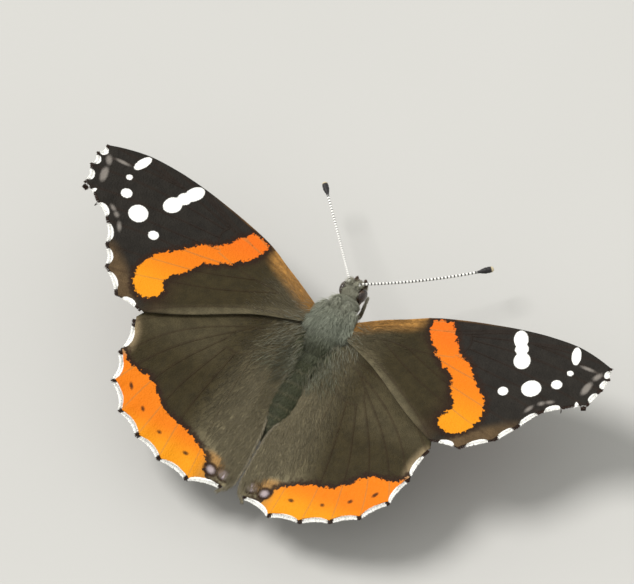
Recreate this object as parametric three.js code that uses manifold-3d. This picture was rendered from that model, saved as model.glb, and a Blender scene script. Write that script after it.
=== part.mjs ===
// Red admiral butterfly at life size, standing on four feet with its wings held open.
// Millimetres, +Z up, head toward -Y, the insect's own left side toward +X.
// Each form is worked out in the insect's own axes: x to one side, y toward the head, z up,
// from the middle of the line that joins the two forewing roots.
// One group then tips the head up, turns it toward -Y and lifts it to its standing height.

import * as THREE from 'three';
import Module from 'manifold-3d';
import { mergeVertices } from 'three/addons/utils/BufferGeometryUtils.js';

const wasm = await Module();
wasm.setup();

// Stance
const ROOT_HEIGHT = 9.0;
const BODY_PITCH = THREE.MathUtils.degToRad(6);
const GAP = 0.3;

// Wings
const WING_THICKNESS = 0.5;
const SCALLOP_STEPS = 4;
const SPAN_STEPS = 6;
const FORE_DIHEDRAL = Math.tan(THREE.MathUtils.degToRad(6.7));
const FORE_PITCH = Math.tan(THREE.MathUtils.degToRad(-3.3));
const FORE_BASE_HEIGHT = 0.15;
const FORE_REAR_LIFT = 1.1;
const FORE_REAR_WIDTH = 8.0;
const HIND_DIHEDRAL = Math.tan(THREE.MathUtils.degToRad(8.6));
const HIND_PITCH = Math.tan(THREE.MathUtils.degToRad(7.8));
const HIND_BASE_HEIGHT = 2.3;
const HIND_CLEARANCE = 0.9;
const HIND_RISE = 0.24;
const HIND_BLEND = 0.35;
const FORE_SCALLOP = 0.25;
const HIND_SCALLOP = 0.4;

// Forewing vein ends along the outer margin, from the apex back to the rear corner
const FORE_TIPS = [
  [32.0, 6.1], [32.5, 4.8], [32.4, 3.2], [31.9, 0.9], [29.6, -0.4],
  [27.5, -1.9], [26.1, -4.5], [24.7, -7.0], [21.8, -9.7], [18.4, -10.2],
];
const FORE_COSTA = [[2.7, 0.2], [7.0, 2.4], [11.5, 4.5], [20.2, 6.6], [27.0, 7.15], [32.0, 6.1]];
const FORE_INNER = [[2.7, -2.2], [8.0, -4.7], [14.0, -8.1], [18.4, -10.2]];

// Hindwing vein ends, from the front corner round to the tail end beside the body's middle line
const HIND_TIPS = [
  [18.8, -11.2], [18.4, -15.1], [17.6, -18.3], [15.3, -21.0],
  [12.3, -22.6], [9.0, -23.8], [5.2, -24.4], [1.4, -23.5],
];
const HIND_COSTA = [[2.6, -2.9], [8.0, -3.9], [13.5, -6.0], [17.4, -8.8], [18.8, -11.2]];
const HIND_INNER = [[2.6, -6.0], [2.1, -9.0], [1.35, -13.2], [0.35, -16.6], [0.3, -21.6], [1.4, -23.5]];

// Body
const THORAX = { length: 7.8, width: 5.0, height: 5.0, hump: 0.12, y: -1.9, z: -1.2 };
const ABDOMEN = { front: -6.1, tip: -16.6, width: 4.2, height: 3.8, frontZ: -1.4, tipZ: -1.0 };
const HEAD = { length: 2.4, width: 2.5, height: 2.3, y: 3.45, z: -0.75 };
const EYE = { length: 1.7, width: 1.0, height: 1.8, x: 1.12, y: 3.55, z: -0.7 };

// Feelers and mouthparts
const SHAFT_RADIUS = 0.25;
const CLUB_RADIUS = 0.5;
const CLUB_LENGTH = 1.9;
const ANTENNA_BOW = -0.8;
const ANTENNA_ROOT = [0.7, 4.35, 0.4];
const LEFT_ANTENNA_TIP = [11.1, 15.4, -4.8];
const RIGHT_ANTENNA_TIP = [11.1, 14.2, -4.8];
const PALP_ROOT = [0.62, 4.55, -1.95];
const PALP_TIP = [0.5, 5.5, -0.7];
const PALP_RADIUS = 0.32;
const COIL = { radius: 0.95, pitch: 0.62, turns: 1.45, tube: 0.25, y: 4.0, z: -3.45 };

// Legs, in the standing axes: x to one side, y toward the head, z up from the floor.
// Each toe dips just under the floor, where its flat is cut
const LEGS = {
  midleg: { hip: [2.1, -0.9, 5.2], knee: [5.4, -1.2, 6.7], ankle: [7.9, -0.2, 2.1], toe: [9.4, 2.8, -0.05] },
  hindleg: { hip: [1.9, -4.2, 5.2], knee: [5.2, -6.2, 6.6], ankle: [7.4, -8.8, 2.2], toe: [8.6, -12.6, -0.05] },
};
const FEMUR_RADIUS = [0.32, 0.42, 0.3];
const TIBIA_RADIUS = [0.26, 0.33, 0.27];
const TARSUS_RADIUS = [0.26, 0.27, 0.25];
const FORELEG_ROOT = [1.2, 2.2, -3.1];
const FORELEG_TIP = [1.0, 4.6, -2.9];
const FORELEG_RADIUS = 0.35;
const LEG_SIDES = 8;

const BROWN_VELVET = { color: 0x3b3426, roughness: 0.85, metalness: 0 };
const BLACK_VELVET = { color: 0x2a2622, roughness: 0.85, metalness: 0 };
const OLIVE_HAIR = { color: 0x6e7a6e, roughness: 0.9, metalness: 0 };
const DARK_HAIR = { color: 0x474b39, roughness: 0.9, metalness: 0 };
const EYE_BROWN = { color: 0x3a2418, roughness: 0.3, metalness: 0 };
const FEELER_GREY = { color: 0x8d8778, roughness: 0.6, metalness: 0 };
const LEG_TAN = { color: 0x8a6f4d, roughness: 0.7, metalness: 0 };
const MOUTH_BROWN = { color: 0x4d3320, roughness: 0.5, metalness: 0 };

function smooth(low, high, value) {
  return THREE.MathUtils.smoothstep(value, low, high);
}

function closed(geometry) {
  geometry.deleteAttribute('normal');
  geometry.deleteAttribute('uv');
  return mergeVertices(geometry, 1e-4);
}

function mirrored(geometry) {
  const copy = geometry.clone().scale(-1, 1, 1);
  const index = copy.index.array;
  for (let i = 0; i < index.length; i += 3) {
    [index[i], index[i + 1]] = [index[i + 1], index[i]];
  }
  return copy;
}

function toSolid(geometry) {
  const triVerts = new Uint32Array(geometry.index.array);
  const vertProperties = new Float32Array(geometry.attributes.position.array);
  return new wasm.Manifold(new wasm.Mesh({ numProp: 3, vertProperties, triVerts }));
}

function toGeometry(solid) {
  const cut = solid.getMesh();
  const geometry = new THREE.BufferGeometry();
  geometry.setAttribute('position', new THREE.BufferAttribute(new Float32Array(cut.vertProperties), 3));
  geometry.setIndex(new THREE.BufferAttribute(new Uint32Array(cut.triVerts), 1));
  return geometry;
}

function finished(name, geometry, finish) {
  const shaded = geometry.clone();
  shaded.computeVertexNormals();
  const mesh = new THREE.Mesh(shaded, new THREE.MeshStandardMaterial(finish));
  mesh.name = name;
  return mesh;
}

function curveThrough(points) {
  return new THREE.SplineCurve(points.map(([x, y]) => new THREE.Vector2(x, y)));
}

// Outer margin from 0 to 1: a shallow bay between each vein end and the next
function scallopedMargin(tips, depth) {
  return (share) => {
    const along = Math.min(share * (tips.length - 1), tips.length - 1 - 1e-9);
    const bay = Math.floor(along);
    const part = along - bay;
    const start = new THREE.Vector2(...tips[bay]);
    const chord = new THREE.Vector2(...tips[bay + 1]).sub(start);
    const inward = new THREE.Vector2(chord.y, -chord.x).normalize();
    return start.addScaledVector(chord, part).addScaledVector(inward, depth * 4 * part * (1 - part));
  };
}

// A patch filled in between the front edge, the rear edge, the root and the outer margin
function wingPlan(costaPoints, innerPoints, tips, depth) {
  const costa = curveThrough(costaPoints);
  const inner = curveThrough(innerPoints);
  const margin = scallopedMargin(tips, depth);
  const corners = [costa.getPoint(0), inner.getPoint(0), costa.getPoint(1), inner.getPoint(1)];
  return (out, back) => {
    const root = corners[0].clone().lerp(corners[1], back);
    const point = costa.getPoint(out).multiplyScalar(1 - back);
    point.addScaledVector(inner.getPoint(out), back);
    point.addScaledVector(root, 1 - out).addScaledVector(margin(back), out);
    point.addScaledVector(corners[0], -(1 - out) * (1 - back));
    point.addScaledVector(corners[1], -(1 - out) * back);
    point.addScaledVector(corners[2], -out * (1 - back));
    return point.addScaledVector(corners[3], -out * back);
  };
}

// How far a place lies ahead of the forewing's rear edge, negative behind it
function aheadOfRearEdge(x, y) {
  const [startX, startY] = FORE_INNER[0];
  const [endX, endY] = FORE_INNER[FORE_INNER.length - 1];
  const run = Math.hypot(endX - startX, endY - startY);
  return ((endX - startX) * (y - startY) - (endY - startY) * (x - startX)) / run;
}

function foreHeight(x, y) {
  const rear = 1 - smooth(0, FORE_REAR_WIDTH, aheadOfRearEdge(x, y));
  const plane = FORE_BASE_HEIGHT + FORE_DIHEDRAL * x + FORE_PITCH * y;
  return plane + FORE_REAR_LIFT * rear * smooth(2, 8, x);
}

// The hindwing passes under the forewing and rises behind it to its own plane
function hindHeight(x, y) {
  const plane = HIND_BASE_HEIGHT + HIND_DIHEDRAL * x + HIND_PITCH * y;
  const behind = Math.max(0, -aheadOfRearEdge(x, y));
  const under = foreHeight(x, y) - HIND_CLEARANCE + HIND_RISE * behind;
  const spread = Math.hypot(plane - under, HIND_BLEND);
  return (plane + under - spread) / 2;
}

function wingSolid(plan, height, bays) {
  const slab = new THREE.BoxGeometry(1, 1, 1, SPAN_STEPS, bays * SCALLOP_STEPS, 1);
  const place = slab.attributes.position;
  for (let i = 0; i < place.count; i += 1) {
    const spot = plan(place.getX(i) + 0.5, 0.5 - place.getY(i));
    place.setXYZ(i, spot.x, spot.y, height(spot.x, spot.y) + WING_THICKNESS * place.getZ(i));
  }
  return closed(slab);
}

function forewing() {
  const plan = wingPlan(FORE_COSTA, FORE_INNER, FORE_TIPS, FORE_SCALLOP);
  return wingSolid(plan, foreHeight, FORE_TIPS.length - 1);
}

function hindwing() {
  const plan = wingPlan(HIND_COSTA, HIND_INNER, HIND_TIPS, HIND_SCALLOP);
  return wingSolid(plan, hindHeight, HIND_TIPS.length - 1);
}

function ellipsoid(size, sides, rings) {
  const ball = closed(new THREE.SphereGeometry(1, sides, rings));
  ball.scale(size.width / 2, size.length / 2, size.height / 2);
  return ball.translate(size.x ?? 0, size.y, size.z);
}

// Share of full girth along a form: rounded over its front and rear stretches, full between them
function roundedEnds(along, front, rear) {
  const lead = Math.min(1, along / front);
  const trail = Math.min(1, (1 - along) / rear);
  return Math.sqrt(1 - (1 - lead) ** 2) * Math.sqrt(1 - (1 - trail) ** 2);
}

// A closed form along y: shape(along) gives its half width, its rise above and drop below the
// centre line, and the height of that line
function bodyForm(front, rear, sides, rings, shape) {
  const ball = closed(new THREE.SphereGeometry(1, sides, rings));
  const place = ball.attributes.position;
  for (let i = 0; i < place.count; i += 1) {
    const along = (1 - place.getY(i)) / 2;
    const ring = Math.hypot(place.getX(i), place.getZ(i)) || 1;
    const { halfWidth, rise, drop, centre } = shape(along);
    const reach = place.getZ(i) > 0 ? rise : drop;
    const y = THREE.MathUtils.lerp(front, rear, along);
    place.setXYZ(i, halfWidth * place.getX(i) / ring, y, centre + reach * place.getZ(i) / ring);
  }
  return ball;
}

// Full-chested trunk: blunt in front, humped over the wing roots, with a broad short waist behind
function thorax() {
  const half = THORAX.length / 2;
  return bodyForm(THORAX.y + half, THORAX.y - half, 22, 16, (along) => {
    const girth = roundedEnds(along, 0.4, 0.32) * (1 - 0.12 * smooth(0.5, 1, along));
    const hump = 1 + THORAX.hump * Math.exp(-(((along - 0.42) / 0.22) ** 2));
    const halfWidth = girth * THORAX.width / 2;
    const drop = girth * THORAX.height / 2;
    return { halfWidth, rise: drop * hump, drop, centre: THORAX.z };
  });
}

// Long barrel, full behind the waist and drawn out to a blunt tip
function abdomen() {
  return bodyForm(ABDOMEN.front, ABDOMEN.tip, 20, 16, (along) => {
    const girth = roundedEnds(along, 0.16, 0.72);
    const centre = THREE.MathUtils.lerp(ABDOMEN.frontZ, ABDOMEN.tipZ, along);
    const halfWidth = girth * ABDOMEN.width / 2;
    const rise = girth * ABDOMEN.height / 2;
    return { halfWidth, rise, drop: rise, centre };
  });
}

function eye() {
  return ellipsoid(EYE, 16, 10);
}

// Rounded head with a socket that leaves a gap round each eye
function head() {
  const skull = toSolid(ellipsoid(HEAD, 20, 12));
  const room = { ...EYE, length: EYE.length + 2 * GAP, width: EYE.width + 2 * GAP, height: EYE.height + 2 * GAP };
  const socket = ellipsoid(room, 16, 10);
  return toGeometry(skull.subtract(toSolid(socket)).subtract(toSolid(mirrored(socket))));
}

// A turned bar from one place to another, with its radii spread evenly along it
function turnedBar(start, end, radii, sides, bow = 0) {
  const from = new THREE.Vector3(...start);
  const span = new THREE.Vector3(...end).sub(from);
  const length = span.length();
  const profile = [new THREE.Vector2(0, 0)];
  radii.forEach(([share, radius]) => profile.push(new THREE.Vector2(radius, share * length)));
  profile.push(new THREE.Vector2(0, length));
  const bar = closed(new THREE.LatheGeometry(profile, sides));
  const upright = new THREE.Vector3(0, 1, 0);
  bar.applyQuaternion(new THREE.Quaternion().setFromUnitVectors(upright, span.clone().normalize()));
  bar.translate(from.x, from.y, from.z);
  const place = bar.attributes.position;
  for (let i = 0; i < place.count; i += 1) {
    const share = new THREE.Vector3().fromBufferAttribute(place, i).sub(from).dot(span) / length ** 2;
    place.setZ(i, place.getZ(i) + bow * 4 * share * (1 - share));
  }
  return bar;
}

function legBar(start, end, [first, middle, last]) {
  const radii = [[0, first * 0.7], [0.06, first], [0.45, middle], [0.94, last], [1, last * 0.7]];
  return turnedBar(start, end, radii, LEG_SIDES);
}

// A tarsus is cut flat where it meets the floor
function tarsus(ankle, toe) {
  const bar = toSolid(legBar(ankle, toe, TARSUS_RADIUS));
  const block = closed(new THREE.BoxGeometry(60, 60, 20)).translate(0, 0, 10);
  return toGeometry(bar.intersect(toSolid(block)));
}

function shortened(start, end, trim) {
  const from = new THREE.Vector3(...start);
  const along = new THREE.Vector3(...end).sub(from).normalize();
  return from.addScaledVector(along, trim).toArray();
}

function legMeshes(side, turn) {
  const meshes = [];
  for (const [leg, joints] of Object.entries(LEGS)) {
    const { hip, knee, ankle, toe } = joints;
    const thigh = legBar(hip, shortened(knee, hip, FEMUR_RADIUS[2]), FEMUR_RADIUS);
    const shin = legBar(shortened(knee, ankle, GAP), shortened(ankle, knee, GAP), TIBIA_RADIUS);
    const foot = tarsus(shortened(ankle, toe, GAP), toe);
    meshes.push(finished(`${leg}_femur_${side}`, turn(thigh), LEG_TAN));
    meshes.push(finished(`${leg}_tibia_${side}`, turn(shin), LEG_TAN));
    meshes.push(finished(`${leg}_tarsus_${side}`, turn(foot), LEG_TAN));
  }
  return meshes;
}

function antenna(tip) {
  const length = new THREE.Vector3(...tip).distanceTo(new THREE.Vector3(...ANTENNA_ROOT));
  const club = 1 - CLUB_LENGTH / length;
  const radii = [
    [0, SHAFT_RADIUS], [0.25, SHAFT_RADIUS], [0.5, SHAFT_RADIUS], [0.75, SHAFT_RADIUS],
    [club - 0.03, SHAFT_RADIUS], [club + 0.03, CLUB_RADIUS * 0.9], [0.95, CLUB_RADIUS],
    [0.985, CLUB_RADIUS * 0.8], [1, CLUB_RADIUS * 0.4],
  ];
  return turnedBar(ANTENNA_ROOT, tip, radii, LEG_SIDES, ANTENNA_BOW);
}

function palp() {
  const radii = [[0, 0.7], [0.15, 1], [0.5, 1.05], [0.8, 0.85], [1, 0.35]];
  return turnedBar(PALP_ROOT, PALP_TIP, radii.map(([share, r]) => [share, r * PALP_RADIUS]), 10);
}

function foreleg() {
  const radii = [[0, 0.6], [0.2, 1], [0.6, 0.9], [1, 0.5]];
  return turnedBar(FORELEG_ROOT, FORELEG_TIP, radii.map(([share, r]) => [share, r * FORELEG_RADIUS]), 8);
}

// Flat watch-spring coil in the middle plane, under the head
function proboscis() {
  const points = [];
  const steps = 26;
  for (let i = 0; i <= steps; i += 1) {
    const turned = (i / steps) * COIL.turns;
    const radius = COIL.radius - COIL.pitch * turned;
    const angle = Math.PI * (0.5 - 2 * turned);
    points.push(new THREE.Vector3(0, COIL.y + radius * Math.cos(angle), COIL.z + radius * Math.sin(angle)));
  }
  const section = new THREE.Shape().absarc(0, 0, COIL.tube, 0, 2 * Math.PI);
  const route = new THREE.CatmullRomCurve3(points);
  const settings = { extrudePath: route, steps: 40, curveSegments: 4 };
  return closed(new THREE.ExtrudeGeometry(section, settings));
}

function bodyMeshes() {
  return [
    finished('thorax', thorax(), OLIVE_HAIR),
    finished('abdomen', abdomen(), DARK_HAIR),
    finished('head', head(), OLIVE_HAIR),
    finished('proboscis', proboscis(), MOUTH_BROWN),
  ];
}

function sideMeshes(side, turn, antennaTip) {
  return [
    finished(`forewing_${side}`, turn(forewing()), BLACK_VELVET),
    finished(`hindwing_${side}`, turn(hindwing()), BROWN_VELVET),
    finished(`eye_${side}`, turn(eye()), EYE_BROWN),
    finished(`antenna_${side}`, turn(antenna(antennaTip)), FEELER_GREY),
    finished(`palp_${side}`, turn(palp()), OLIVE_HAIR),
    finished(`foreleg_${side}`, turn(foreleg()), OLIVE_HAIR),
  ];
}

const same = (geometry) => geometry;
const trunk = new THREE.Group();
trunk.add(...bodyMeshes());
trunk.add(...sideMeshes('left', mirrored, LEFT_ANTENNA_TIP));
trunk.add(...sideMeshes('right', same, RIGHT_ANTENNA_TIP));
trunk.rotation.x = BODY_PITCH;
trunk.position.z = ROOT_HEIGHT;

const insect = new THREE.Group();
insect.add(trunk);
insect.add(...legMeshes('left', mirrored), ...legMeshes('right', same));
insect.rotation.z = Math.PI;
insect.updateMatrixWorld(true);

// The origin is on the floor, under the middle of the whole insect
const extent = new THREE.Box3().setFromObject(insect, true);
insect.position.y = -(extent.min.y + extent.max.y) / 2;

const butterfly = new THREE.Group();
butterfly.add(insect);

export default butterfly;
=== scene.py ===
"""A red admiral butterfly at life size: skin, wings, hair and scales round its solid parts.

Shapes are worked out in millimetres in the insect's own axes: x to its right, y toward its head
and z up, from the middle of the line between its forewing roots. Axes sets them in the part frame.
"""

import logging
import math
from collections.abc import Callable, Sequence
from dataclasses import dataclass, field
from enum import Enum
from typing import Any

import bmesh
import bpy
import numpy as np
from mathutils import Matrix, Vector

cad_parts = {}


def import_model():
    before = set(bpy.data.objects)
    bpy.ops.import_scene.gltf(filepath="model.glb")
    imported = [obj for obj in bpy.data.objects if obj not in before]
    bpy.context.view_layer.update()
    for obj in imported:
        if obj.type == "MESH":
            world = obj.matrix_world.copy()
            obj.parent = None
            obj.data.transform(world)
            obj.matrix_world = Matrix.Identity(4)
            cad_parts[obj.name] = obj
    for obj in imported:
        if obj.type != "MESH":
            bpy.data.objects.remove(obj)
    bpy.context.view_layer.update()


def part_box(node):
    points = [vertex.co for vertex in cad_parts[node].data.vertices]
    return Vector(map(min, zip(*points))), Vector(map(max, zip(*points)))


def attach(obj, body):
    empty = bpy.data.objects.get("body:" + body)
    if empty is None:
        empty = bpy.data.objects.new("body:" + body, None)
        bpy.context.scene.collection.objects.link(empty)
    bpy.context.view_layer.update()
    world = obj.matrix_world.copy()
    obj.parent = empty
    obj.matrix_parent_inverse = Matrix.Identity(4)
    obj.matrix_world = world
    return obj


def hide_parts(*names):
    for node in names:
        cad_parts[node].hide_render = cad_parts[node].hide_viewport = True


Array = np.ndarray
Place = Callable[[Array, Array], Array]
Point = Sequence[float]
Line = Sequence[Point]
Pair = tuple[float, float]
Form = bmesh.types.BMesh
Mesh = bpy.types.Mesh
Material = bpy.types.Material
Socket = bpy.types.NodeSocket

MM = 0.001
PATCH = 0.003
UPWARD = np.array([0.0, 0.0, 1.0])
TAILWARD = np.array([0.0, -1.0, 0.0])
FRAME_WIDTH = 634
WING_REACH = 30.0
VEIN_EDGE = (0.04, 0.24)
ROWS_MIDDLE = (1.0, -2.0)
INWARD_OF_MARGINS = (8.0, -8.0)
NECK = 2.25
WAIST = -5.9
NOWHERE = -2.0
FEELER_PITCH = 0.4

log = logging.getLogger("red_admiral")


def smooth(low: float, high: float, value: Array) -> Array:
    """Return a soft step that is 0 at low and 1 at high."""
    share = np.clip((value - low) / (high - low), 0.0, 1.0)
    return share * share * (3.0 - 2.0 * share)


def unit(vectors: Array) -> Array:
    """Return the vectors at length 1."""
    return vectors / np.maximum(np.linalg.norm(vectors, axis=-1, keepdims=True), 1e-9)


def runs_of(path: Array) -> Array:
    """Return the length of each run of a path."""
    return np.linalg.norm(np.diff(path, axis=0), axis=1)


def distance_along(path: Array) -> Array:
    """Return how far along a path each of its points lies."""
    return np.concatenate(([0.0], np.cumsum(runs_of(path))))


def spline(points: Line, share: Array) -> Array:
    """Find places on the smooth curve through some points.

    Args:
        points: The points, evenly spaced in share.
        share: How far along each place is, 0 to 1.

    Returns:
        One place for each share.
    """
    knots = np.asarray(points, float)
    last = len(knots) - 1
    way = np.clip(share, 0.0, 1.0) * last
    first = np.minimum(way.astype(int), last - 1)
    part = (way - first)[:, None]
    here, there = knots[first], knots[first + 1]
    leave = (there - knots[np.maximum(first - 1, 0)]) / 2
    arrive = (knots[np.minimum(first + 2, last)] - here) / 2
    cubic = 2 * (here - there) + leave + arrive
    square = 3 * (there - here) - 2 * leave - arrive
    return ((cubic * part + square) * part + leave) * part + here


def nearest_on(spots: Array, line: Line) -> tuple[Array, Array]:
    """Measure places against a line of straight runs.

    Args:
        spots: The places.
        line: The corners of the line.

    Returns:
        Each place's distance from the line, and how far along it its nearest point lies, 0 to 1.
    """
    corners = np.asarray(line, float)
    gap, share = np.full(len(spots), np.inf), np.zeros(len(spots))
    for step, (start, end) in enumerate(zip(corners[:-1], corners[1:])):
        run = end - start
        part = np.clip((spots - start) @ run / (run @ run), 0.0, 1.0)
        away = np.linalg.norm(spots - start - part[:, None] * run, axis=1)
        nearer = away < gap
        gap[nearer] = away[nearer]
        share[nearer] = (step + part[nearer]) / (len(corners) - 1)
    return gap, share


def curve_gap(spots: Array, curve: Line, steps: int, start: float = 0.0) -> Array:
    """Return the distance of places from a smooth curve, past its start, drawn in straight steps."""
    return nearest_on(spots, spline(curve, np.linspace(start, 1, steps)))[0]


def depth_in(spots: Array, outline: Line) -> Array:
    """Measure how deep places lie inside a closed outline.

    Args:
        spots: Places in the plane.
        outline: The corners of the outline.

    Returns:
        The distance to the outline, negative outside it.
    """
    ring = np.vstack((outline, outline[:1]))
    inside = np.zeros(len(spots), bool)
    for start, end in zip(ring[:-1], ring[1:]):
        crossed = (start[1] > spots[:, 1]) != (end[1] > spots[:, 1])
        slope = (end[0] - start[0]) / ((end[1] - start[1]) or 1.0)
        inside ^= crossed & (spots[:, 0] < start[0] + (spots[:, 1] - start[1]) * slope)
    gap = nearest_on(spots, ring)[0]
    return np.where(inside, gap, -gap)


@dataclass(frozen=True)
class Spot:
    """An oval marking on a wing: its middle, its half length and half width, and its turn in degrees."""

    x: float
    y: float
    long: float
    wide: float
    turn: float = 0.0

    def depth(self, plan: Array) -> Array:
        """Return how deep places lie inside the spot, negative outside it."""
        angle = math.radians(self.turn)
        across, up = plan[:, 0] - self.x, plan[:, 1] - self.y
        along = (across * math.cos(angle) + up * math.sin(angle)) / self.long
        aside = (up * math.cos(angle) - across * math.sin(angle)) / self.wide
        return (1.0 - np.hypot(along, aside)) * math.sqrt(self.long * self.wide)


def deepest(plan: Array, spots: Sequence[Spot]) -> Array:
    """Return how deep places lie inside the nearest of some spots."""
    return np.max([spot.depth(plan) for spot in spots], axis=0)


class Pigment(Enum):
    """The insect's colours, as red, green and blue from 0 to 255."""

    BLACK = (34, 31, 27)
    BROWN = (50, 43, 24)
    PALE_BROWN = (122, 114, 90)
    UMBER = (40, 24, 14)
    RUST = (162, 118, 60)
    TORNUS = (100, 80, 54)
    RED_ORANGE = (224, 106, 20)
    ORANGE = (222, 118, 16)
    YELLOW_ORANGE = (226, 143, 18)
    WHITE = (250, 250, 246)
    SLATE = (132, 126, 120)
    VIOLET = (170, 157, 163)
    CREAM = (214, 200, 166)
    ROSE = (196, 88, 62)
    BLUE = (82, 100, 132)
    OLIVE_GREY = (144, 149, 134)
    DARK_OLIVE = (78, 81, 61)
    BUFF = (152, 134, 104)
    TAN = (134, 104, 70)
    DARK_TAN = (78, 58, 40)
    HAIR_BROWN = (108, 98, 76)
    PALE_HAIR = (190, 186, 168)
    SOOT = (34, 32, 34)
    EYE = (44, 28, 20)
    HORN = (92, 56, 30)
    FLOOR = (188, 188, 186)

    @property
    def linear(self) -> Array:
        """The colour as light, for shaders."""
        share = np.array(self.value) / 255.0
        return np.where(share <= 0.04045, share / 12.92, ((share + 0.055) / 1.055) ** 2.4)

    @property
    def rgba(self) -> tuple[float, ...]:
        """The colour as light, with an opaque alpha."""
        return (*self.linear.tolist(), 1.0)


def tinted(under: Array, pigment: Pigment, share: Array) -> Array:
    """Return colours moved toward a pigment by a share of the way at each place."""
    return under + (pigment.linear - under) * share[:, None]


def all_of(pigment: Pigment, count: int) -> Array:
    """Return the same colour for a number of places."""
    return np.tile(pigment.linear, (count, 1))


def layered(base: Pigment, *layers: tuple[Pigment, Array]) -> Array:
    """Lay pigments over each other.

    Args:
        base: The lowest pigment.
        *layers: Each pigment over it in order, with its share at each place.

    Returns:
        The colour of each place.
    """
    colours = all_of(base, len(layers[0][1]))
    for pigment, share in layers:
        colours = tinted(colours, pigment, share)
    return colours


class Side(Enum):
    """The insect's own sides, as the sign of x."""

    RIGHT = 1
    LEFT = -1

    @property
    def word(self) -> str:
        """The side's name as used in the names of pieces."""
        return self.name.lower()


@dataclass(frozen=True)
class Axes:
    """Where the insect's own axes stand in the part frame."""

    shift: float
    pitch: float = math.radians(6.0)
    root_height: float = 9.0

    def place(self, points: Array) -> Array:
        """Set points of the insect in the part frame, in metres.

        Args:
            points: Places in the insect's own axes, in millimetres.

        Returns:
            The same places in the part frame.
        """
        x, y, z = np.asarray(points, float).T
        ahead = y * math.cos(self.pitch) - z * math.sin(self.pitch)
        up = y * math.sin(self.pitch) + z * math.cos(self.pitch) + self.root_height
        return np.column_stack((-x, self.shift - ahead, up)) * MM

    def from_floor(self, points: Line) -> Array:
        """Turn standing places, whose z is the height above the floor, into the insect's own axes.

        Args:
            points: Places with x to the right, y level toward the head and z up from the floor.

        Returns:
            The same places in the insect's own axes.
        """
        x, ahead, up = np.asarray(points, float).T
        up = up - self.root_height
        y = ahead * math.cos(self.pitch) + up * math.sin(self.pitch)
        z = up * math.cos(self.pitch) - ahead * math.sin(self.pitch)
        return np.column_stack((x, y, z))


class Bench:
    """Lays out the nodes of one material."""

    def __init__(self, name: str, roughness: float, **sockets: float | tuple) -> None:
        """Start a material with one shader.

        Args:
            name: The material's name.
            roughness: The shader's roughness.
            **sockets: Other fixed values of the shader, by socket name with _ for a space.
        """
        self.material = bpy.data.materials.new(name)
        self.material.use_nodes = True
        self.tree = self.material.node_tree
        self.shader = self.tree.nodes["Principled BSDF"]
        self.shader.inputs["Roughness"].default_value = roughness
        for socket, value in sockets.items():
            self.shader.inputs[socket.replace("_", " ")].default_value = value

    def node(self, kind: str, sockets: dict[int | str, Any], **settings: Any) -> bpy.types.Node:
        """Add a node.

        Args:
            kind: The node's type.
            sockets: What each input takes: another node's output, or a value.
            **settings: The node's own settings.

        Returns:
            The new node.
        """
        added = self.tree.nodes.new(kind)
        for setting, value in settings.items():
            setattr(added, setting, value)
        for socket, value in sockets.items():
            if isinstance(value, Socket):
                self.tree.links.new(value, added.inputs[socket])
            else:
                added.inputs[socket].default_value = value
        return added

    def field(self, name: str, output: str = "Fac") -> Socket:
        """Read one of the mesh's own attributes."""
        return self.node("ShaderNodeAttribute", {}, attribute_name=name).outputs[output]

    def millimetres(self) -> Socket:
        """Return the place on the object in millimetres."""
        return self.times(self.node("ShaderNodeTexCoord", {}).outputs["Object"], 1 / MM)

    def noise(self, place: Socket, scale: float, detail: float = 2.0) -> Socket:
        """Return soft noise from 0 to 1 at a number of lumps for each unit of place."""
        sockets = {"Vector": place, "Scale": scale, "Detail": detail}
        return self.node("ShaderNodeTexNoise", sockets).outputs[0]

    def cells(self, place: Socket, scale: float, **more: float) -> Socket:
        """Return the distance from the middles of cells, at a number of cells for each unit of place."""
        sockets = {"Vector": place, "Scale": scale, **more}
        return self.node("ShaderNodeTexVoronoi", sockets).outputs["Distance"]

    def maths(self, operation: str, *terms: Any) -> Socket:
        """Return the result of one sum on the terms."""
        return self.node("ShaderNodeMath", dict(enumerate(terms)), operation=operation).outputs[0]

    def centred(self, noise: Socket, width: float) -> Socket:
        """Return noise moved to lie round 0, at a width."""
        return self.maths("MULTIPLY", self.maths("SUBTRACT", noise, 0.5), width)

    def step(self, value: Any, low: float, high: float, start: float = 0.0, end: float = 1.0) -> Any:
        """Return a soft step from start at low to end at high."""
        sockets = {"Value": value, "From Min": low, "From Max": high, "To Min": start, "To Max": end}
        return self.node("ShaderNodeMapRange", sockets, interpolation_type="SMOOTHSTEP").outputs[0]

    def blend(self, share: Any, under: Any, over: Any) -> Socket:
        """Return one colour laid over another by a share."""
        colours = [c.rgba if isinstance(c, Pigment) else c for c in (under, over)]
        sockets = {0: share, 6: colours[0], 7: colours[1]}
        return self.node("ShaderNodeMix", sockets, data_type="RGBA", blend_type="MIX").outputs[2]

    def lay(self, under: Any, over: Any, value: Any, *edge: float) -> Socket:
        """Lay one colour over another by a soft step of a value."""
        return self.blend(self.step(value, *edge), under, over)

    def times(self, under: Any, amount: Any) -> Socket:
        """Return a colour or a place multiplied by an amount."""
        sockets = {0: under, "Scale": amount}
        return self.node("ShaderNodeVectorMath", sockets, operation="SCALE").outputs[0]

    def finish(self, colour: Any, height: Any = None, relief: float = 0.0) -> Material:
        """Wire the colour and the relief to the shader.

        Args:
            colour: The base colour.
            height: The relief's height from 0 to 1, if there is one.
            relief: The relief's full height in millimetres.

        Returns:
            The finished material.
        """
        self.tree.links.new(colour, self.shader.inputs["Base Color"])
        if height is not None:
            sockets = {"Height": height, "Distance": relief * MM, "Strength": 1.0}
            bump = self.node("ShaderNodeBump", sockets)
            self.tree.links.new(bump.outputs[0], self.shader.inputs["Normal"])
        return self.material


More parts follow.
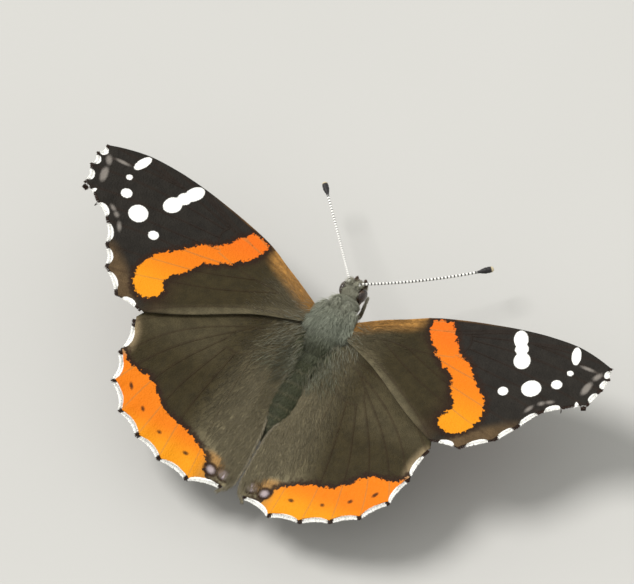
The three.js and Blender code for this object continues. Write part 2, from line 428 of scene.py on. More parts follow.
@dataclass(frozen=True)
class WingFinish:
    """Scales on the upper side of a wing, with its markings."""

    name: str
    jag: float = 0.6
    fray: float = 0.3
    row: float = 7.5
    fleck: float = 9.0
    grain: float = 0.16
    relief: float = 0.035
    dusting: Pigment = Pigment.VIOLET

    def scales(self, bench: Bench, fine: Socket) -> Socket:
        """Return the height of overlapping scales in rows across the wing, a little rough on top."""
        rows = bench.cells(bench.field("rows", "Vector"), self.row)
        return bench.maths("ADD", bench.step(rows, 0.0, 0.75, 1.0, 0.0), bench.maths("MULTIPLY", fine, 0.4))

    def build(self) -> Material:
        """Lay the ground colour, the band, the dark marks and the white marks over each other.

        Returns:
            The material.
        """
        bench = Bench(self.name, 0.66, Sheen_Weight=0.06, Sheen_Roughness=0.4, Specular_IOR_Level=0.12)
        place = bench.millimetres()
        fine = bench.noise(place, self.fleck, 3.0)
        frayed = bench.centred(fine, self.fray)
        ragged = bench.centred(bench.noise(place, 2.4, 4.0), self.jag * 2)
        vein = bench.field("vein")
        mottle = bench.step(bench.noise(place, 0.9, 3.0), 0.3, 0.7, 1.0 - self.grain, 1.0 + self.grain)
        speck = bench.step(fine, 0.25, 0.75, 0.8, 1.2)
        colour = bench.times(bench.field("ground", "Color"), bench.maths("MULTIPLY", mottle, speck))
        colour = bench.lay(colour, Pigment.UMBER, vein, *VEIN_EDGE, 0.3, 0.0)
        band = bench.maths("ADD", bench.field("band"), bench.maths("ADD", ragged, frayed))
        colour = bench.lay(colour, Pigment.UMBER, band, -0.9, -0.2, 0.0, 0.92)
        glow = bench.times(bench.field("glow", "Color"), bench.step(fine, 0.2, 0.8, 0.9, 1.06))
        veined = bench.lay(glow, Pigment.RUST, vein, 0.03, 0.15, 0.45, 0.0)
        colour = bench.lay(colour, veined, band, -0.09, 0.07)
        dark = bench.maths("ADD", bench.field("dark"), frayed)
        colour = bench.lay(colour, Pigment.UMBER, dark, -0.14, 0.16, 0.0, 0.9)
        dust = bench.maths("ADD", bench.field("dust"), frayed)
        colour = bench.lay(colour, self.dusting, dust, -0.2, 0.3, 0.0, 0.85)
        white = bench.maths("ADD", bench.field("white"), bench.maths("MULTIPLY", frayed, 0.7))
        colour = bench.lay(colour, Pigment.WHITE, white, -0.07, 0.06)
        return bench.finish(colour, self.scales(bench, fine), self.relief)


@dataclass(frozen=True)
class UndersideFinish(WingFinish):
    """Scales on the under side of a wing: marbled brown, with a rosy band on a forewing."""

    fray: float = 0.5
    fleck: float = 8.0
    relief: float = 0.03
    warp: float = 3.0

    def marble(self, bench: Bench, place: Socket) -> Socket:
        """Cloud and fleck the browns of the under side.

        Args:
            bench: The material's bench.
            place: The place on the object in millimetres.

        Returns:
            The marbled colour.
        """
        sockets = {"Vector": place, "Scale": 0.35, "Detail": 3.0}
        bent = bench.node("ShaderNodeTexNoise", sockets).outputs["Color"]
        sockets = {0: bent, 1: (self.warp,) * 3, 2: place}
        moved = bench.node("ShaderNodeVectorMath", sockets, operation="MULTIPLY_ADD").outputs[0]
        clouds = bench.noise(moved, 0.55, 4.0)
        flecks = bench.noise(moved, 1.7, 4.0)
        colour = bench.lay(Pigment.UMBER, Pigment.TORNUS, clouds, 0.42, 0.56)
        colour = bench.lay(colour, Pigment.BUFF, flecks, 0.56, 0.66, 0.0, 0.8)
        return bench.lay(colour, Pigment.SLATE, flecks, 0.3, 0.4, 0.7, 0.0)

    def build(self) -> Material:
        """Marble the ground and lay the paler underside marks on it.

        Returns:
            The material.
        """
        bench = Bench(self.name, 0.68, Sheen_Weight=0.06, Sheen_Roughness=0.5, Specular_IOR_Level=0.12)
        place = bench.millimetres()
        fine = bench.noise(place, self.fleck, 3.0)
        frayed = bench.centred(fine, self.fray)
        names = ("rosy", "ring", "white")
        rosy, ring, white = (bench.maths("ADD", bench.field(name), frayed) for name in names)
        marble = self.marble(bench, place)
        colour = bench.blend(bench.field("marbled"), bench.field("under", "Color"), marble)
        colour = bench.times(colour, bench.step(fine, 0.25, 0.75, 0.78, 1.22))
        colour = bench.lay(colour, Pigment.ROSE, rosy, -0.15, 0.15, 0.0, 0.85)
        colour = bench.lay(colour, Pigment.SOOT, ring, -0.35, -0.1, 0.0, 0.8)
        colour = bench.lay(colour, Pigment.BLUE, ring, 0.1, 0.3, 0.0, 0.8)
        colour = bench.lay(colour, Pigment.DARK_TAN, bench.field("vein"), *VEIN_EDGE, 0.6, 0.0)
        colour = bench.lay(colour, Pigment.CREAM, white, -0.15, 0.15, 0.0, 0.9)
        return bench.finish(colour, self.scales(bench, fine), self.relief)


@dataclass(frozen=True)
class HairFinish:
    """Hair or loose scales that take their colour from where they grow, with painted shade toward each
    tuft's root.
    """

    name: str
    tip_light: float = 1.25
    root_light: float = 0.75
    spread: float = 0.2
    roughness: float = 0.65
    relief: float = 0.01

    def build(self) -> Material:
        """Darken each tuft toward its root as painted shade within the coat, lighten it toward its tip and
        vary it from its neighbours.

        Returns:
            The material.
        """
        sockets = {"Sheen_Weight": 0.08, "Sheen_Roughness": 0.4, "Specular_IOR_Level": 0.15}
        bench = Bench(self.name, self.roughness, **sockets)
        # Painted shade: each tuft is darker at its root, where the coat around it shades it, and lighter
        # toward its tip.
        length = bench.step(bench.field("reach"), 0.0, 1.0, self.root_light, self.tip_light)
        lot = bench.step(bench.field("lot"), 0.0, 1.0, 1.0 - self.spread, 1.0 + self.spread)
        colour = bench.times(bench.field("pigment", "Color"), bench.maths("MULTIPLY", length, lot))
        streak = bench.noise(bench.millimetres(), 14.0, 2.0)
        colour = bench.times(colour, bench.step(streak, 0.2, 0.8, 0.85, 1.12))
        return bench.finish(colour, streak, self.relief)


@dataclass(frozen=True)
class SkinFinish:
    """The insect's skin under its hair, with the same colours and a scaly relief."""

    name: str
    scale: float = 7.0
    lump: float = 3.0
    relief: float = 0.05

    def build(self) -> Material:
        """Darken the skin's own colours in the hollows of its scaly relief, as painted shade.

        Returns:
            The material.
        """
        bench = Bench(self.name, 0.6, Sheen_Weight=0.12, Specular_IOR_Level=0.3)
        place = bench.millimetres()
        scales = bench.cells(place, self.scale)
        lumps = bench.noise(place, self.lump, 4.0)
        # Painted shade: darker toward the rim of each scale and on low lumps, where the relief sinks.
        scale_shade, lump_shade = bench.step(scales, 0.1, 0.8, 1.05, 0.7), bench.step(lumps, 0.3, 0.7, 0.75, 1.1)
        colour = bench.times(bench.field("pigment", "Color"), bench.maths("MULTIPLY", scale_shade, lump_shade))
        return bench.finish(colour, bench.maths("SUBTRACT", lumps, scales), self.relief)


@dataclass(frozen=True)
class EyeFinish:
    """A dark brown eye of many small facets, with a soft gloss."""

    name: str = "eye_facets"
    facet: float = 13.0
    relief: float = 0.018

    def build(self) -> Material:
        """Round off each facet, mottle the brown, and paint a highlight on each facet's middle with shade
        between the facets.

        Returns:
            The material.
        """
        bench = Bench(self.name, 0.24, Specular_IOR_Level=0.55, Coat_Weight=0.3, Coat_Roughness=0.12)
        place = bench.millimetres()
        facet = bench.cells(place, self.facet, Randomness=0.15)
        colour = bench.lay(Pigment.EYE, Pigment.DARK_TAN, bench.noise(place, 2.2, 2.0), 0.4, 0.65)
        # Painted highlight and shade: each facet's middle is lightened and its rim darkened.
        colour = bench.times(colour, bench.step(facet, 0.0, 0.65, 1.25, 0.6))
        return bench.finish(colour, bench.step(facet, 0.0, 0.7, 1.0, 0.0), self.relief)


@dataclass(frozen=True)
class FeelerFinish:
    """A feeler: dark rings on a whitish shaft, a dark club and a pale tip."""

    name: str = "feeler_rings"
    club: float = 1.75
    tip: float = 0.3
    soft: float = 0.1
    relief: float = 0.02

    def build(self) -> Material:
        """Ring the shaft by the distance from its root and darken the club.

        Returns:
            The material.
        """
        bench = Bench(self.name, 0.5, Specular_IOR_Level=0.35, Sheen_Weight=0.1)
        along, left = bench.field("along"), bench.field("left")
        grain = bench.noise(bench.millimetres(), 16.0, 2.0)
        phase = bench.maths("FRACT", bench.maths("DIVIDE", along, FEELER_PITCH))
        frayed = bench.maths("ADD", phase, bench.centred(grain, 0.35))
        ring = bench.maths("MULTIPLY", bench.step(frayed, 0.5, 0.62), bench.step(frayed, 0.9, 1.0, 1.0, 0.0))
        colour = bench.blend(ring, Pigment.WHITE, Pigment.SOOT)
        colour = bench.lay(colour, Pigment.SOOT, left, self.club, self.club + 0.5, 1.0, 0.0)
        colour = bench.lay(colour, Pigment.CREAM, left, self.tip - self.soft, self.tip + self.soft, 1.0, 0.0)
        return bench.finish(bench.times(colour, bench.step(grain, 0.2, 0.8, 0.75, 1.15)), grain, self.relief)


@dataclass(frozen=True)
class HornFinish:
    """Bare horn, as on the proboscis and the claws."""

    name: str
    pigment: Pigment
    rings: float = 9.0
    relief: float = 0.008

    def build(self) -> Material:
        """Ring the horn finely by the distance along it.

        Returns:
            The material.
        """
        bench = Bench(self.name, 0.38, Specular_IOR_Level=0.5)
        wave = bench.maths("SINE", bench.maths("MULTIPLY", bench.field("along"), self.rings * math.tau))
        grain = bench.noise(bench.millimetres(), 6.0, 3.0)
        colour = bench.lay(self.pigment, Pigment.SOOT, wave, -0.8, 0.8, 0.0, 0.6)
        colour = bench.times(colour, bench.step(grain, 0.25, 0.75, 0.75, 1.3))
        return bench.finish(colour, wave, self.relief)


@dataclass(frozen=True)
class FloorFinish:
    """A plain pale floor with a faint grain."""

    name: str = "pale_floor"
    lump: float = 0.02

    def build(self) -> Material:
        """Vary the floor's colour a very little.

        Returns:
            The material.
        """
        bench = Bench(self.name, 0.85, Specular_IOR_Level=0.15)
        grain = bench.step(bench.noise(bench.millimetres(), self.lump, 2.0), 0.0, 1.0, 0.98, 1.02)
        return bench.finish(bench.times(Pigment.FLOOR.linear.tolist(), grain))


def mapped_grid(across: int, along: int, place: Place) -> Form:
    """Make a grid and lay its corners where a function says.

    Args:
        across: How many cells the grid has one way.
        along: How many it has the other way.
        place: Takes both shares of every corner, 0 to 1, and returns their places.

    Returns:
        The grid.
    """
    form = bmesh.new()
    bmesh.ops.create_grid(form, x_segments=across, y_segments=along, size=0.5)
    shares = np.array([corner.co for corner in form.verts]) + 0.5
    for corner, spot in zip(form.verts, place(shares[:, 0], shares[:, 1])):
        corner.co = spot
    return form


def closed(form: Form, reach: float = 1e-5) -> Form:
    """Merge a form's seam and poles and turn its faces outward."""
    bmesh.ops.remove_doubles(form, verts=form.verts[:], dist=reach)
    bmesh.ops.recalc_face_normals(form, faces=form.faces[:])
    return form


def ball(middle: Point, size: Point, turn: float = 0.0, steps: int = 32) -> Form:
    """Make an egg shape.

    Args:
        middle: Its middle.
        size: Its half width, half length and half height.
        turn: Its turn about the upright, in degrees.
        steps: How many faces go round it.

    Returns:
        The form.
    """
    form = bmesh.new()
    bmesh.ops.create_uvsphere(form, u_segments=steps, v_segments=steps * 3 // 4, radius=1.0)
    stretch = Matrix.Diagonal((*size, 1.0))
    spin = Matrix.Rotation(math.radians(turn), 4, "Z")
    bmesh.ops.transform(form, matrix=Matrix.Translation(middle) @ spin @ stretch, verts=form.verts[:])
    return form


def tube(path: Array, radii: Array, sides: int = 10) -> Form:
    """Make a round bar along a path.

    Args:
        path: The points of its middle line.
        radii: The bar's radius at each point; it is closed where that is 0.
        sides: How many faces go round it.

    Returns:
        The bar, with the distance along it kept in the layer along.
    """
    last = len(path) - 1
    ahead = unit(np.gradient(path, axis=0))
    steady = np.eye(3)[np.abs(ahead).max(axis=0).argmin()]
    aside = unit(np.cross(ahead, steady))
    over = np.cross(aside, ahead)
    run = distance_along(path)

    def place(turned: Array, share: Array) -> Array:
        """Set a corner round the middle line."""
        at = np.rint(share * last).astype(int)
        angle = turned * math.tau
        round_it = aside[at] * np.cos(angle)[:, None] + over[at] * np.sin(angle)[:, None]
        return path[at] + round_it * radii[at][:, None]

    form = mapped_grid(sides, last, place)
    layer = form.verts.layers.float.new("along")
    for number, corner in enumerate(form.verts):
        corner[layer] = run[number // (sides + 1)]
    return closed(form)


def bar(points: Line, radii: Point, steps: int = 24, sides: int = 14) -> Form:
    """Make a smooth rounded bar through some points, with radii spread evenly along it.

    Args:
        points: The points it passes through.
        radii: Its radii from end to end.
        steps: How many runs it has.
        sides: How many faces go round it.

    Returns:
        The bar.
    """
    rounding = 0.08
    share = np.linspace(0.0, 1.0, steps + 1)
    girth = np.interp(share, np.linspace(0.0, 1.0, len(radii)), radii)
    way_in = np.clip(np.minimum(share, 1.0 - share) / rounding, 0.0, 1.0)
    return tube(spline(points, share), girth * np.sqrt(1.0 - (1.0 - way_in) ** 2), sides)


def to_mesh(*forms: Form) -> Mesh:
    """Join some forms in one mesh, in millimetres, and let them go."""
    whole = bmesh.new()
    for form in forms:
        part = bpy.data.meshes.new("part")
        form.to_mesh(part)
        form.free()
        whole.from_mesh(part)
        bpy.data.meshes.remove(part)
    mesh = bpy.data.meshes.new("whole")
    whole.to_mesh(mesh)
    whole.free()
    return mesh


def rows_of(items: Any, name: str, width: int, kind: type = np.float32) -> Array:
    """Read a value of each of a mesh's items, as rows of a width."""
    flat = np.empty(len(items) * width, kind)
    items.foreach_get(name, flat)
    return flat.reshape(-1, width)


def places_of(mesh: Mesh) -> Array:
    """Return the places of a mesh's corners."""
    return rows_of(mesh.vertices, "co", 3).astype(float)


def set_field(mesh: Mesh, name: str, values: Array) -> None:
    """Keep a number, a place or a colour for each corner of a mesh.

    Args:
        mesh: The mesh.
        name: The field's name.
        values: One number for each corner, or three of a place or four of a colour.
    """
    width = 1 if values.ndim == 1 else values.shape[1]
    kinds = {1: ("FLOAT", "value"), 3: ("FLOAT_VECTOR", "vector"), 4: ("FLOAT_COLOR", "color")}
    kind, entry = kinds[width]
    kept = mesh.attributes.new(name, kind, "POINT")
    kept.data.foreach_set(entry, np.ascontiguousarray(values, np.float32).ravel())


def opaque(colours: Array) -> Array:
    """Return colours with an alpha of 1."""
    return np.column_stack((colours, np.ones(len(colours))))


def show(name: str, data: bpy.types.ID) -> bpy.types.Object:
    """Make an object of some data and link it to the scene."""
    shown = bpy.data.objects.new(name, data)
    bpy.context.scene.collection.objects.link(shown)
    return shown


@dataclass
class Model:
    """The insect as a whole: sets each finished piece in its place."""

    axes: Axes
    count: int = 0
    faces: int = 0

    def add(
        self,
        name: str,
        mesh: Mesh,
        finishes: Sequence[Material],
        slot: str,
        stands_for: Sequence[str] = (),
    ) -> None:
        """Set a piece in the part frame, in metres, and hide the solids that it stands for.

        Args:
            name: The piece's name.
            mesh: Its mesh, in millimetres in the insect's own axes.
            finishes: Its materials.
            slot: The record's material slot; not used.
            stands_for: The solids that it replaces.
        """
        placed = self.axes.place(places_of(mesh))
        mesh.vertices.foreach_set("co", placed.astype(np.float32).ravel())
        mesh.polygons.foreach_set("use_smooth", np.ones(len(mesh.polygons), bool))
        for finish in finishes:
            mesh.materials.append(finish)
        mesh.name = name
        mesh.update()
        piece = show(name, mesh)
        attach(piece, "root")
        if stands_for:
            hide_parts(*stands_for)
        mesh.calc_loop_triangles()
        triangles = len(mesh.loop_triangles)
        self.count += 1
        self.faces += triangles
        log.info("%s: %d triangles", name, triangles)


@dataclass(frozen=True)
class Tuft:
    """The form of one tuft: a thin closed spindle, one long and one wide."""

    sides: int = 3
    flat: float = 0.6
    levels: Line = ((0.0, 0.0), (0.12, 0.85), (0.6, 0.9), (1.0, 0.0))

    def template(self) -> tuple[Array, Array, Array]:
        """Make the tuft once.

        Returns:
            Its corners (aside, over, along), the three corners of each face, and each corner's
            place in its patch of the unwrap, from 0 to 1.
        """
        levels = np.asarray(self.levels)

        def place(turned: Array, share: Array) -> Array:
            """Set a corner of the spindle."""
            along, wide = levels[np.rint(share * (len(levels) - 1)).astype(int)].T
            angle = turned * math.tau
            return np.column_stack((np.cos(angle) * wide, np.sin(angle) * wide * self.flat, along))

        form = closed(mapped_grid(self.sides, len(levels) - 1, place))
        bmesh.ops.triangulate(form, faces=form.faces[:])
        corners = np.array([corner.co for corner in form.verts])
        faces = np.array([[corner.index for corner in face.verts] for face in form.faces])
        form.free()
        return corners, faces, np.column_stack((corners[:, 0] / 2 + 0.5, corners[:, 2]))


@dataclass
class Coat:
    """Tufts from one or more places, laid out together as one mesh."""

    tuft: Tuft = field(default_factory=Tuft)
    parts: list[dict[str, Array]] = field(default_factory=list)

    def grow(
        self,
        roots: Array,
        lie: Array,
        outward: Array,
        length: Array,
        width: Array,
        pigment: Array,
        patch: Array,
        arch: float = 0.12,
    ) -> None:
        """Set a tuft at each root.

        Args:
            roots: The roots.
            lie: The way that each tuft points.
            outward: The way out of the skin.
            length: Each tuft's length.
            width: Each tuft's half width.
            pigment: Each tuft's colour.
            patch: Where each root lies on the unwrapped skin.
            arch: How far the middle of a tuft stands above its chord, as a share of its length.
        """
        ahead = unit(lie)
        aside = unit(np.cross(ahead, outward))
        count = len(roots)
        part = {"roots": roots, "ahead": ahead, "aside": aside, "over": np.cross(aside, ahead)}
        part |= {"length": np.broadcast_to(length, count), "width": np.broadcast_to(width, count)}
        part |= {"pigment": pigment, "patch": patch, "arch": np.full(count, arch)}
        self.parts.append(part)

    def mesh(self, rng: np.random.Generator) -> Mesh:
        """Lay out every tuft.

        Args:
            rng: The source of each tuft's own lot.

        Returns:
            The coat's mesh, with the fields pigment, reach and lot and the map OFBake.
        """
        corners, faces, spread = self.tuft.template()
        given = {key: np.concatenate([part[key] for part in self.parts]) for key in self.parts[0]}
        count, size = len(given["roots"]), len(corners)
        side, over, along = corners.T
        width, length, arch = (given[key][:, None] for key in ("width", "length", "arch"))
        rise = width * over + length * (arch * 4 * (along * (1 - along)))
        spots = given["roots"][:, None, :]
        for way, amount in {"aside": width * side, "over": rise, "ahead": length * along}.items():
            spots = spots + given[way][:, None, :] * amount[:, :, None]
        wanted = (faces[None] + (np.arange(count) * size)[:, None, None]).reshape(-1, 3)
        mesh = bpy.data.meshes.new("coat")
        mesh.vertices.add(count * size)
        mesh.vertices.foreach_set("co", spots.astype(np.float32).ravel())
        mesh.loops.add(wanted.size)
        mesh.loops.foreach_set("vertex_index", wanted.astype(np.int32).ravel())
        mesh.polygons.add(len(wanted))
        mesh.polygons.foreach_set("loop_start", np.arange(0, wanted.size, 3, dtype=np.int32))
        mesh.update(calc_edges=True)
        set_field(mesh, "pigment", opaque(np.repeat(given["pigment"], size, axis=0)))
        set_field(mesh, "reach", np.tile(along, count))
        set_field(mesh, "lot", np.repeat(rng.random(count), size))
        unwrap = np.repeat(given["patch"], size, axis=0) + np.tile(spread - 0.5, (count, 1)) * PATCH
        baked = mesh.uv_layers.new(name="OFBake")
        baked.data.foreach_set("uv", unwrap[wanted.ravel()].astype(np.float32).ravel())
        return mesh


@dataclass(frozen=True)
class Outline:
    """A wing's outline in plan, in millimetres.

    The forewing's is its solid's. The hindwing's root and inner edge lie further in than its
    solid's, under the body's hair.
    """

    costa: Line
    inner: Line
    tips: Line
    scallop: float

    @property
    def bays(self) -> int:
        """How many bays lie between the vein ends."""
        return len(self.tips) - 1

    def bay_of(self, back: Array) -> tuple[Array, Array]:
        """Return how many bays round the margin places lie, and the number of each one's bay."""
        along = np.clip(back, 0.0, 1.0) * self.bays
        return along, np.minimum(along.astype(int), self.bays - 1)

    def margin(self, back: Array) -> Array:
        """Find places on the outer margin, in a shallow bay between each two vein ends.

        Args:
            back: How far round from the front corner each place is, 0 to 1.

        Returns:
            The places in plan.
        """
        tips = np.asarray(self.tips, float)
        along, bay = self.bay_of(back)
        part = (along - bay)[:, None]
        chord = tips[bay + 1] - tips[bay]
        inward = unit(np.column_stack((chord[:, 1], -chord[:, 0])))
        return tips[bay] + chord * part + inward * self.scallop * 4 * part * (1 - part)

    def plan(self, out: Array, back: Array) -> Array:
        """Fill the wing between its four edges.

        Args:
            out: How far from the root to the margin each place is, 0 to 1.
            back: How far from the front edge to the rear edge it is, 0 to 1.

        Returns:
            The places in plan.
        """
        out, back = np.asarray(out, float)[:, None], np.asarray(back, float)[:, None]
        costa, inner = spline(self.costa, out[:, 0]), spline(self.inner, out[:, 0])
        front, rear = np.asarray(self.costa[0]), np.asarray(self.inner[0])
        far_front, far_rear = np.asarray(self.costa[-1]), np.asarray(self.inner[-1])
        root = front + (rear - front) * back
        edges = costa * (1 - back) + inner * back + root * (1 - out) + self.margin(back[:, 0]) * out
        near = (front * (1 - back) + rear * back) * (1 - out)
        far = (far_front * (1 - back) + far_rear * back) * out
        return edges - near - far


FORE_OUTLINE = Outline(
    costa=((2.7, 0.2), (7.0, 2.4), (11.5, 4.5), (20.2, 6.6), (27.0, 7.15), (32.0, 6.1)),
    inner=((2.7, -2.2), (8.0, -4.7), (14.0, -8.1), (18.4, -10.2)),
    tips=(
        (32.0, 6.1), (32.5, 4.8), (32.4, 3.2), (31.9, 0.9), (29.6, -0.4),
        (27.5, -1.9), (26.1, -4.5), (24.7, -7.0), (21.8, -9.7), (18.4, -10.2),
    ),
    scallop=0.25,
)
HIND_OUTLINE = Outline(
    costa=((2.6, -1.7), (8.0, -3.9), (13.5, -6.0), (17.4, -8.8), (18.8, -11.2)),
    inner=((2.1, -6.2), (1.35, -9.0), (0.85, -13.2), (0.3, -16.6), (0.3, -21.6), (1.4, -23.5)),
    tips=(
        (18.8, -11.2), (18.4, -15.1), (17.6, -18.3), (15.3, -21.0),
        (12.3, -22.6), (9.0, -23.8), (5.2, -24.4), (1.4, -23.5),
    ),
    scallop=0.4,
)


@dataclass
class Wing:
    """One wing: a thin membrane with veins, cilia round its margin and hair near its root.

    Sizes are in millimetres. The stub is the part of the membrane under the body's hair, which
    droops by a share of its length. The pleat is the sag between veins, the flutter the height of
    the waves along the margin, and settle how far the membrane lies from its solid's middle, toward
    the other wing. White cilia start in from the margin by the lap, and by the lens more in mid-bay,
    as shares of their length.
    """

    side: Side
    seed: int
    outline: Outline = FORE_OUTLINE
    name: str = "forewing"
    cells: tuple[int, int] = (150, 126)
    thickness: float = 0.12
    stub: float = 0.8
    droop: float = 0.7
    pleat: float = 0.08
    flutter: float = 0.1
    settle: float = 0.17
    cilia: float = 0.42
    cilium_gap: float = 0.036
    cilium_width: float = 0.028
    cilium_layers: int = 4
    lap: float = 0.3
    lens: float = 0.85
    vein_radii: Pair = (0.13, 0.05)
    veins: Sequence[Line] = ()
    white_shares: Point = ()
    hair_counts: tuple[int, int] = (2600, 1000)
    hair_lengths: Pair = (0.5, 1.0)
    hair_growth: tuple[float, float, float] = (0.6, 0.5, 10.0)
    hair_least: float = 0.0
    hair_width: float = 0.02
    hair_rise: float = 0.05
    hair_stray: float = 0.6
    hair_brown: float = 0.45
    hair_from: Pair = (-6.0, -3.5)
    hair_end: float = 11.0
    hair_fade: float = 1.5
    fur_count: int = 900
    fur_reach: float = 5.0
    fur_sweep: Pair = (1.0, -0.3)
    fur_length: float = 1.5
    rng: np.random.Generator = field(init=False)

    def __post_init__(self) -> None:
        """Seed the wing's own draws."""
        self.rng = np.random.default_rng(self.seed)

    @property
    def slot(self) -> str:
        """The record's material slot."""
        return f"{self.name}_scales"

    def plane(self, plan: Array) -> Array:
        """Return the height of the wing's middle surface at places in plan."""
        raise NotImplementedError

    def painted(self, plan: Array) -> dict[str, Array]:
        """Return the wing's own colours and markings at places in plan."""
        raise NotImplementedError

    def furred(self, plan: Array) -> Array:
        """Return how thickly fine hair stands at places in plan, 0 to 1."""
        return smooth(self.hair_end, 2.0, plan[:, 0]) ** self.hair_fade

    def root_hair(self) -> Coat:
        """Return fine hair on both sides of the wing, and fur at its root."""
        coat = self.fine_hair()
        self.add_base_fur(coat)
        return coat

    @staticmethod
    def ahead_of_forewing(plan: Array) -> Array:
        """Return how far places lie ahead of the forewing's rear edge, negative behind it."""
        start, end = np.asarray(FORE_OUTLINE.inner[0]), np.asarray(FORE_OUTLINE.inner[-1])
        run = end - start
        offset = plan - start
        return (run[0] * offset[:, 1] - run[1] * offset[:, 0]) / np.linalg.norm(run)

    def forewing_plane(self, plan: Array) -> Array:
        """Find the forewing's height, raised along its rear edge over the hindwing.

        Args:
            plan: Places in plan.

        Returns:
            The height of each.
        """
        rear = 1.0 - smooth(0.0, 8.0, self.ahead_of_forewing(plan))
        slope = math.tan(math.radians(6.7)) * plan[:, 0] - math.tan(math.radians(3.3)) * plan[:, 1]
        return 0.15 + slope + 1.1 * rear * smooth(2.0, 8.0, plan[:, 0])

    def vein_gap(self, plan: Array) -> Array:
        """Return the distance from the nearest vein."""
        return np.min([curve_gap(plan, vein, 16) for vein in self.veins], axis=0)

    def margin_line(self, steps: int) -> Array:
        """Return the outer margin as a line of places, with a number of steps in each bay."""
        return self.outline.margin(np.linspace(0, 1, self.outline.bays * steps + 1))

    def lift(self, plan: Array) -> Array:
        """Raise places in plan to the wing's surface, with a low pleat between veins and a waved margin.

        Args:
            plan: Places in plan, on the right side.

        Returns:
            The places in the insect's own axes, on this wing's side.
        """
        sag = self.pleat * smooth(0.0, 1.6, self.vein_gap(plan))
        gap, share = nearest_on(plan, self.margin_line(6))
        wave = self.flutter * np.cos(share * self.outline.bays * math.tau) * smooth(5.0, 0.0, gap)
        height = self.plane(plan) - sag + wave
        return np.column_stack((self.side.value * plan[:, 0], plan[:, 1], height))

    def inset(self, back: Array) -> Array:
        """Return the share of the wing's reach at which the membrane ends and the cilia go on."""
        strip = 0.05
        edge, short = (self.outline.plan(np.full_like(back, out), back) for out in (1.0, 1.0 - strip))
        span = np.linalg.norm(edge - short, axis=1)
        return 1.0 - self.cilia / np.maximum(span / strip, 1.0)

    def sheet(self, across: Array, along: Array) -> Array:
        """Set the corners of the membrane, from a stub under the body's hair to the cilia.

        Args:
            across: Share of the way out.
            along: Share of the way back.

        Returns:
            The corners' places.
        """
        reach = across * (1.0 + self.stub / WING_REACH) - self.stub / WING_REACH
        out = np.maximum(reach, 0.0) * self.inset(along)
        plan = self.outline.plan(out, along)
        tucked = np.maximum(-reach, 0.0) * WING_REACH
        plan[:, 0] -= tucked
        spots = self.lift(plan)
        spots[:, 2] -= tucked * self.droop
        return spots

    def membrane(self) -> Form:
        """Make the membrane, with its upper side in material 0 and its under side in material 1."""
        form = mapped_grid(*self.cells, self.sheet)
        if self.side is Side.RIGHT:
            bmesh.ops.reverse_faces(form, faces=form.faces[:])
        lower = bmesh.ops.extrude_face_region(form, geom=form.faces[:], use_keep_orig=True)["geom"]
        corners = [item for item in lower if isinstance(item, bmesh.types.BMVert)]
        bmesh.ops.translate(form, vec=(0.0, 0.0, -self.thickness), verts=corners)
        bmesh.ops.recalc_face_normals(form, faces=form.faces[:])
        for face in form.faces:
            face.material_index = int(face.normal.z < -0.1)
        return form

    def vein_bars(self) -> list[Form]:
        """Make each vein as a tapered bar half sunk in the membrane."""
        bars = []
        for vein in self.veins:
            share = np.linspace(0.0, 1.0, 36)
            radii = np.interp(share, (0.0, 1.0), self.vein_radii)
            radii = radii * smooth(0.0, 0.02, share) * smooth(1.0, 0.97, share)
            path = self.lift(spline(vein, share))
            path[:, 2] -= self.thickness / 2
            form = tube(path, radii, 6)
            for face in form.faces:
                face.material_index = int(face.normal.z < 0.0)
            bars.append(form)
        return bars

    def bay_white(self, share: Array) -> tuple[Array, Array]:
        """Measure places along the margin against the white part of their bay.

        Args:
            share: How far round the margin each place is.

        Returns:
            Its depth in the white, negative near the vein ends, and its nearness to mid-bay, 0 to 1.
        """
        along, bay = self.outline.bay_of(share)
        white, off = np.asarray(self.white_shares)[bay], along - bay - 0.5
        bulge = np.sqrt(np.clip(1.0 - (2.0 * off / white) ** 2, 0.0, 1.0))
        return (white / 2 - abs(off)) * runs_of(np.asarray(self.outline.tips))[bay], bulge

    def paint(self, mesh: Mesh) -> None:
        """Keep the wing's colours and markings on its mesh.

        Args:
            mesh: The wing's mesh.
        """
        places = places_of(mesh)
        plan = np.column_stack((places[:, 0] * self.side.value, places[:, 1]))
        edge, share = nearest_on(plan, self.margin_line(10))
        marks = self.painted(plan)
        depth, bulge = self.bay_white(share)
        lens = self.cilia * (self.lap + self.lens) * bulge
        marks["white"] = np.maximum(marks["white"], np.minimum(depth, lens + 0.1 - edge))
        marks["vein"] = self.vein_gap(plan)
        offset = plan - np.array(ROWS_MIDDLE)
        radius = np.linalg.norm(offset, axis=1)
        turned = np.arctan2(offset[:, 1], offset[:, 0]) * 16.0
        marks["rows"] = np.column_stack((radius * 0.62, turned, np.zeros(len(plan))))
        for name, values in marks.items():
            is_colour = values.ndim == 2 and name != "rows"
            set_field(mesh, name, opaque(values) if is_colour else values)

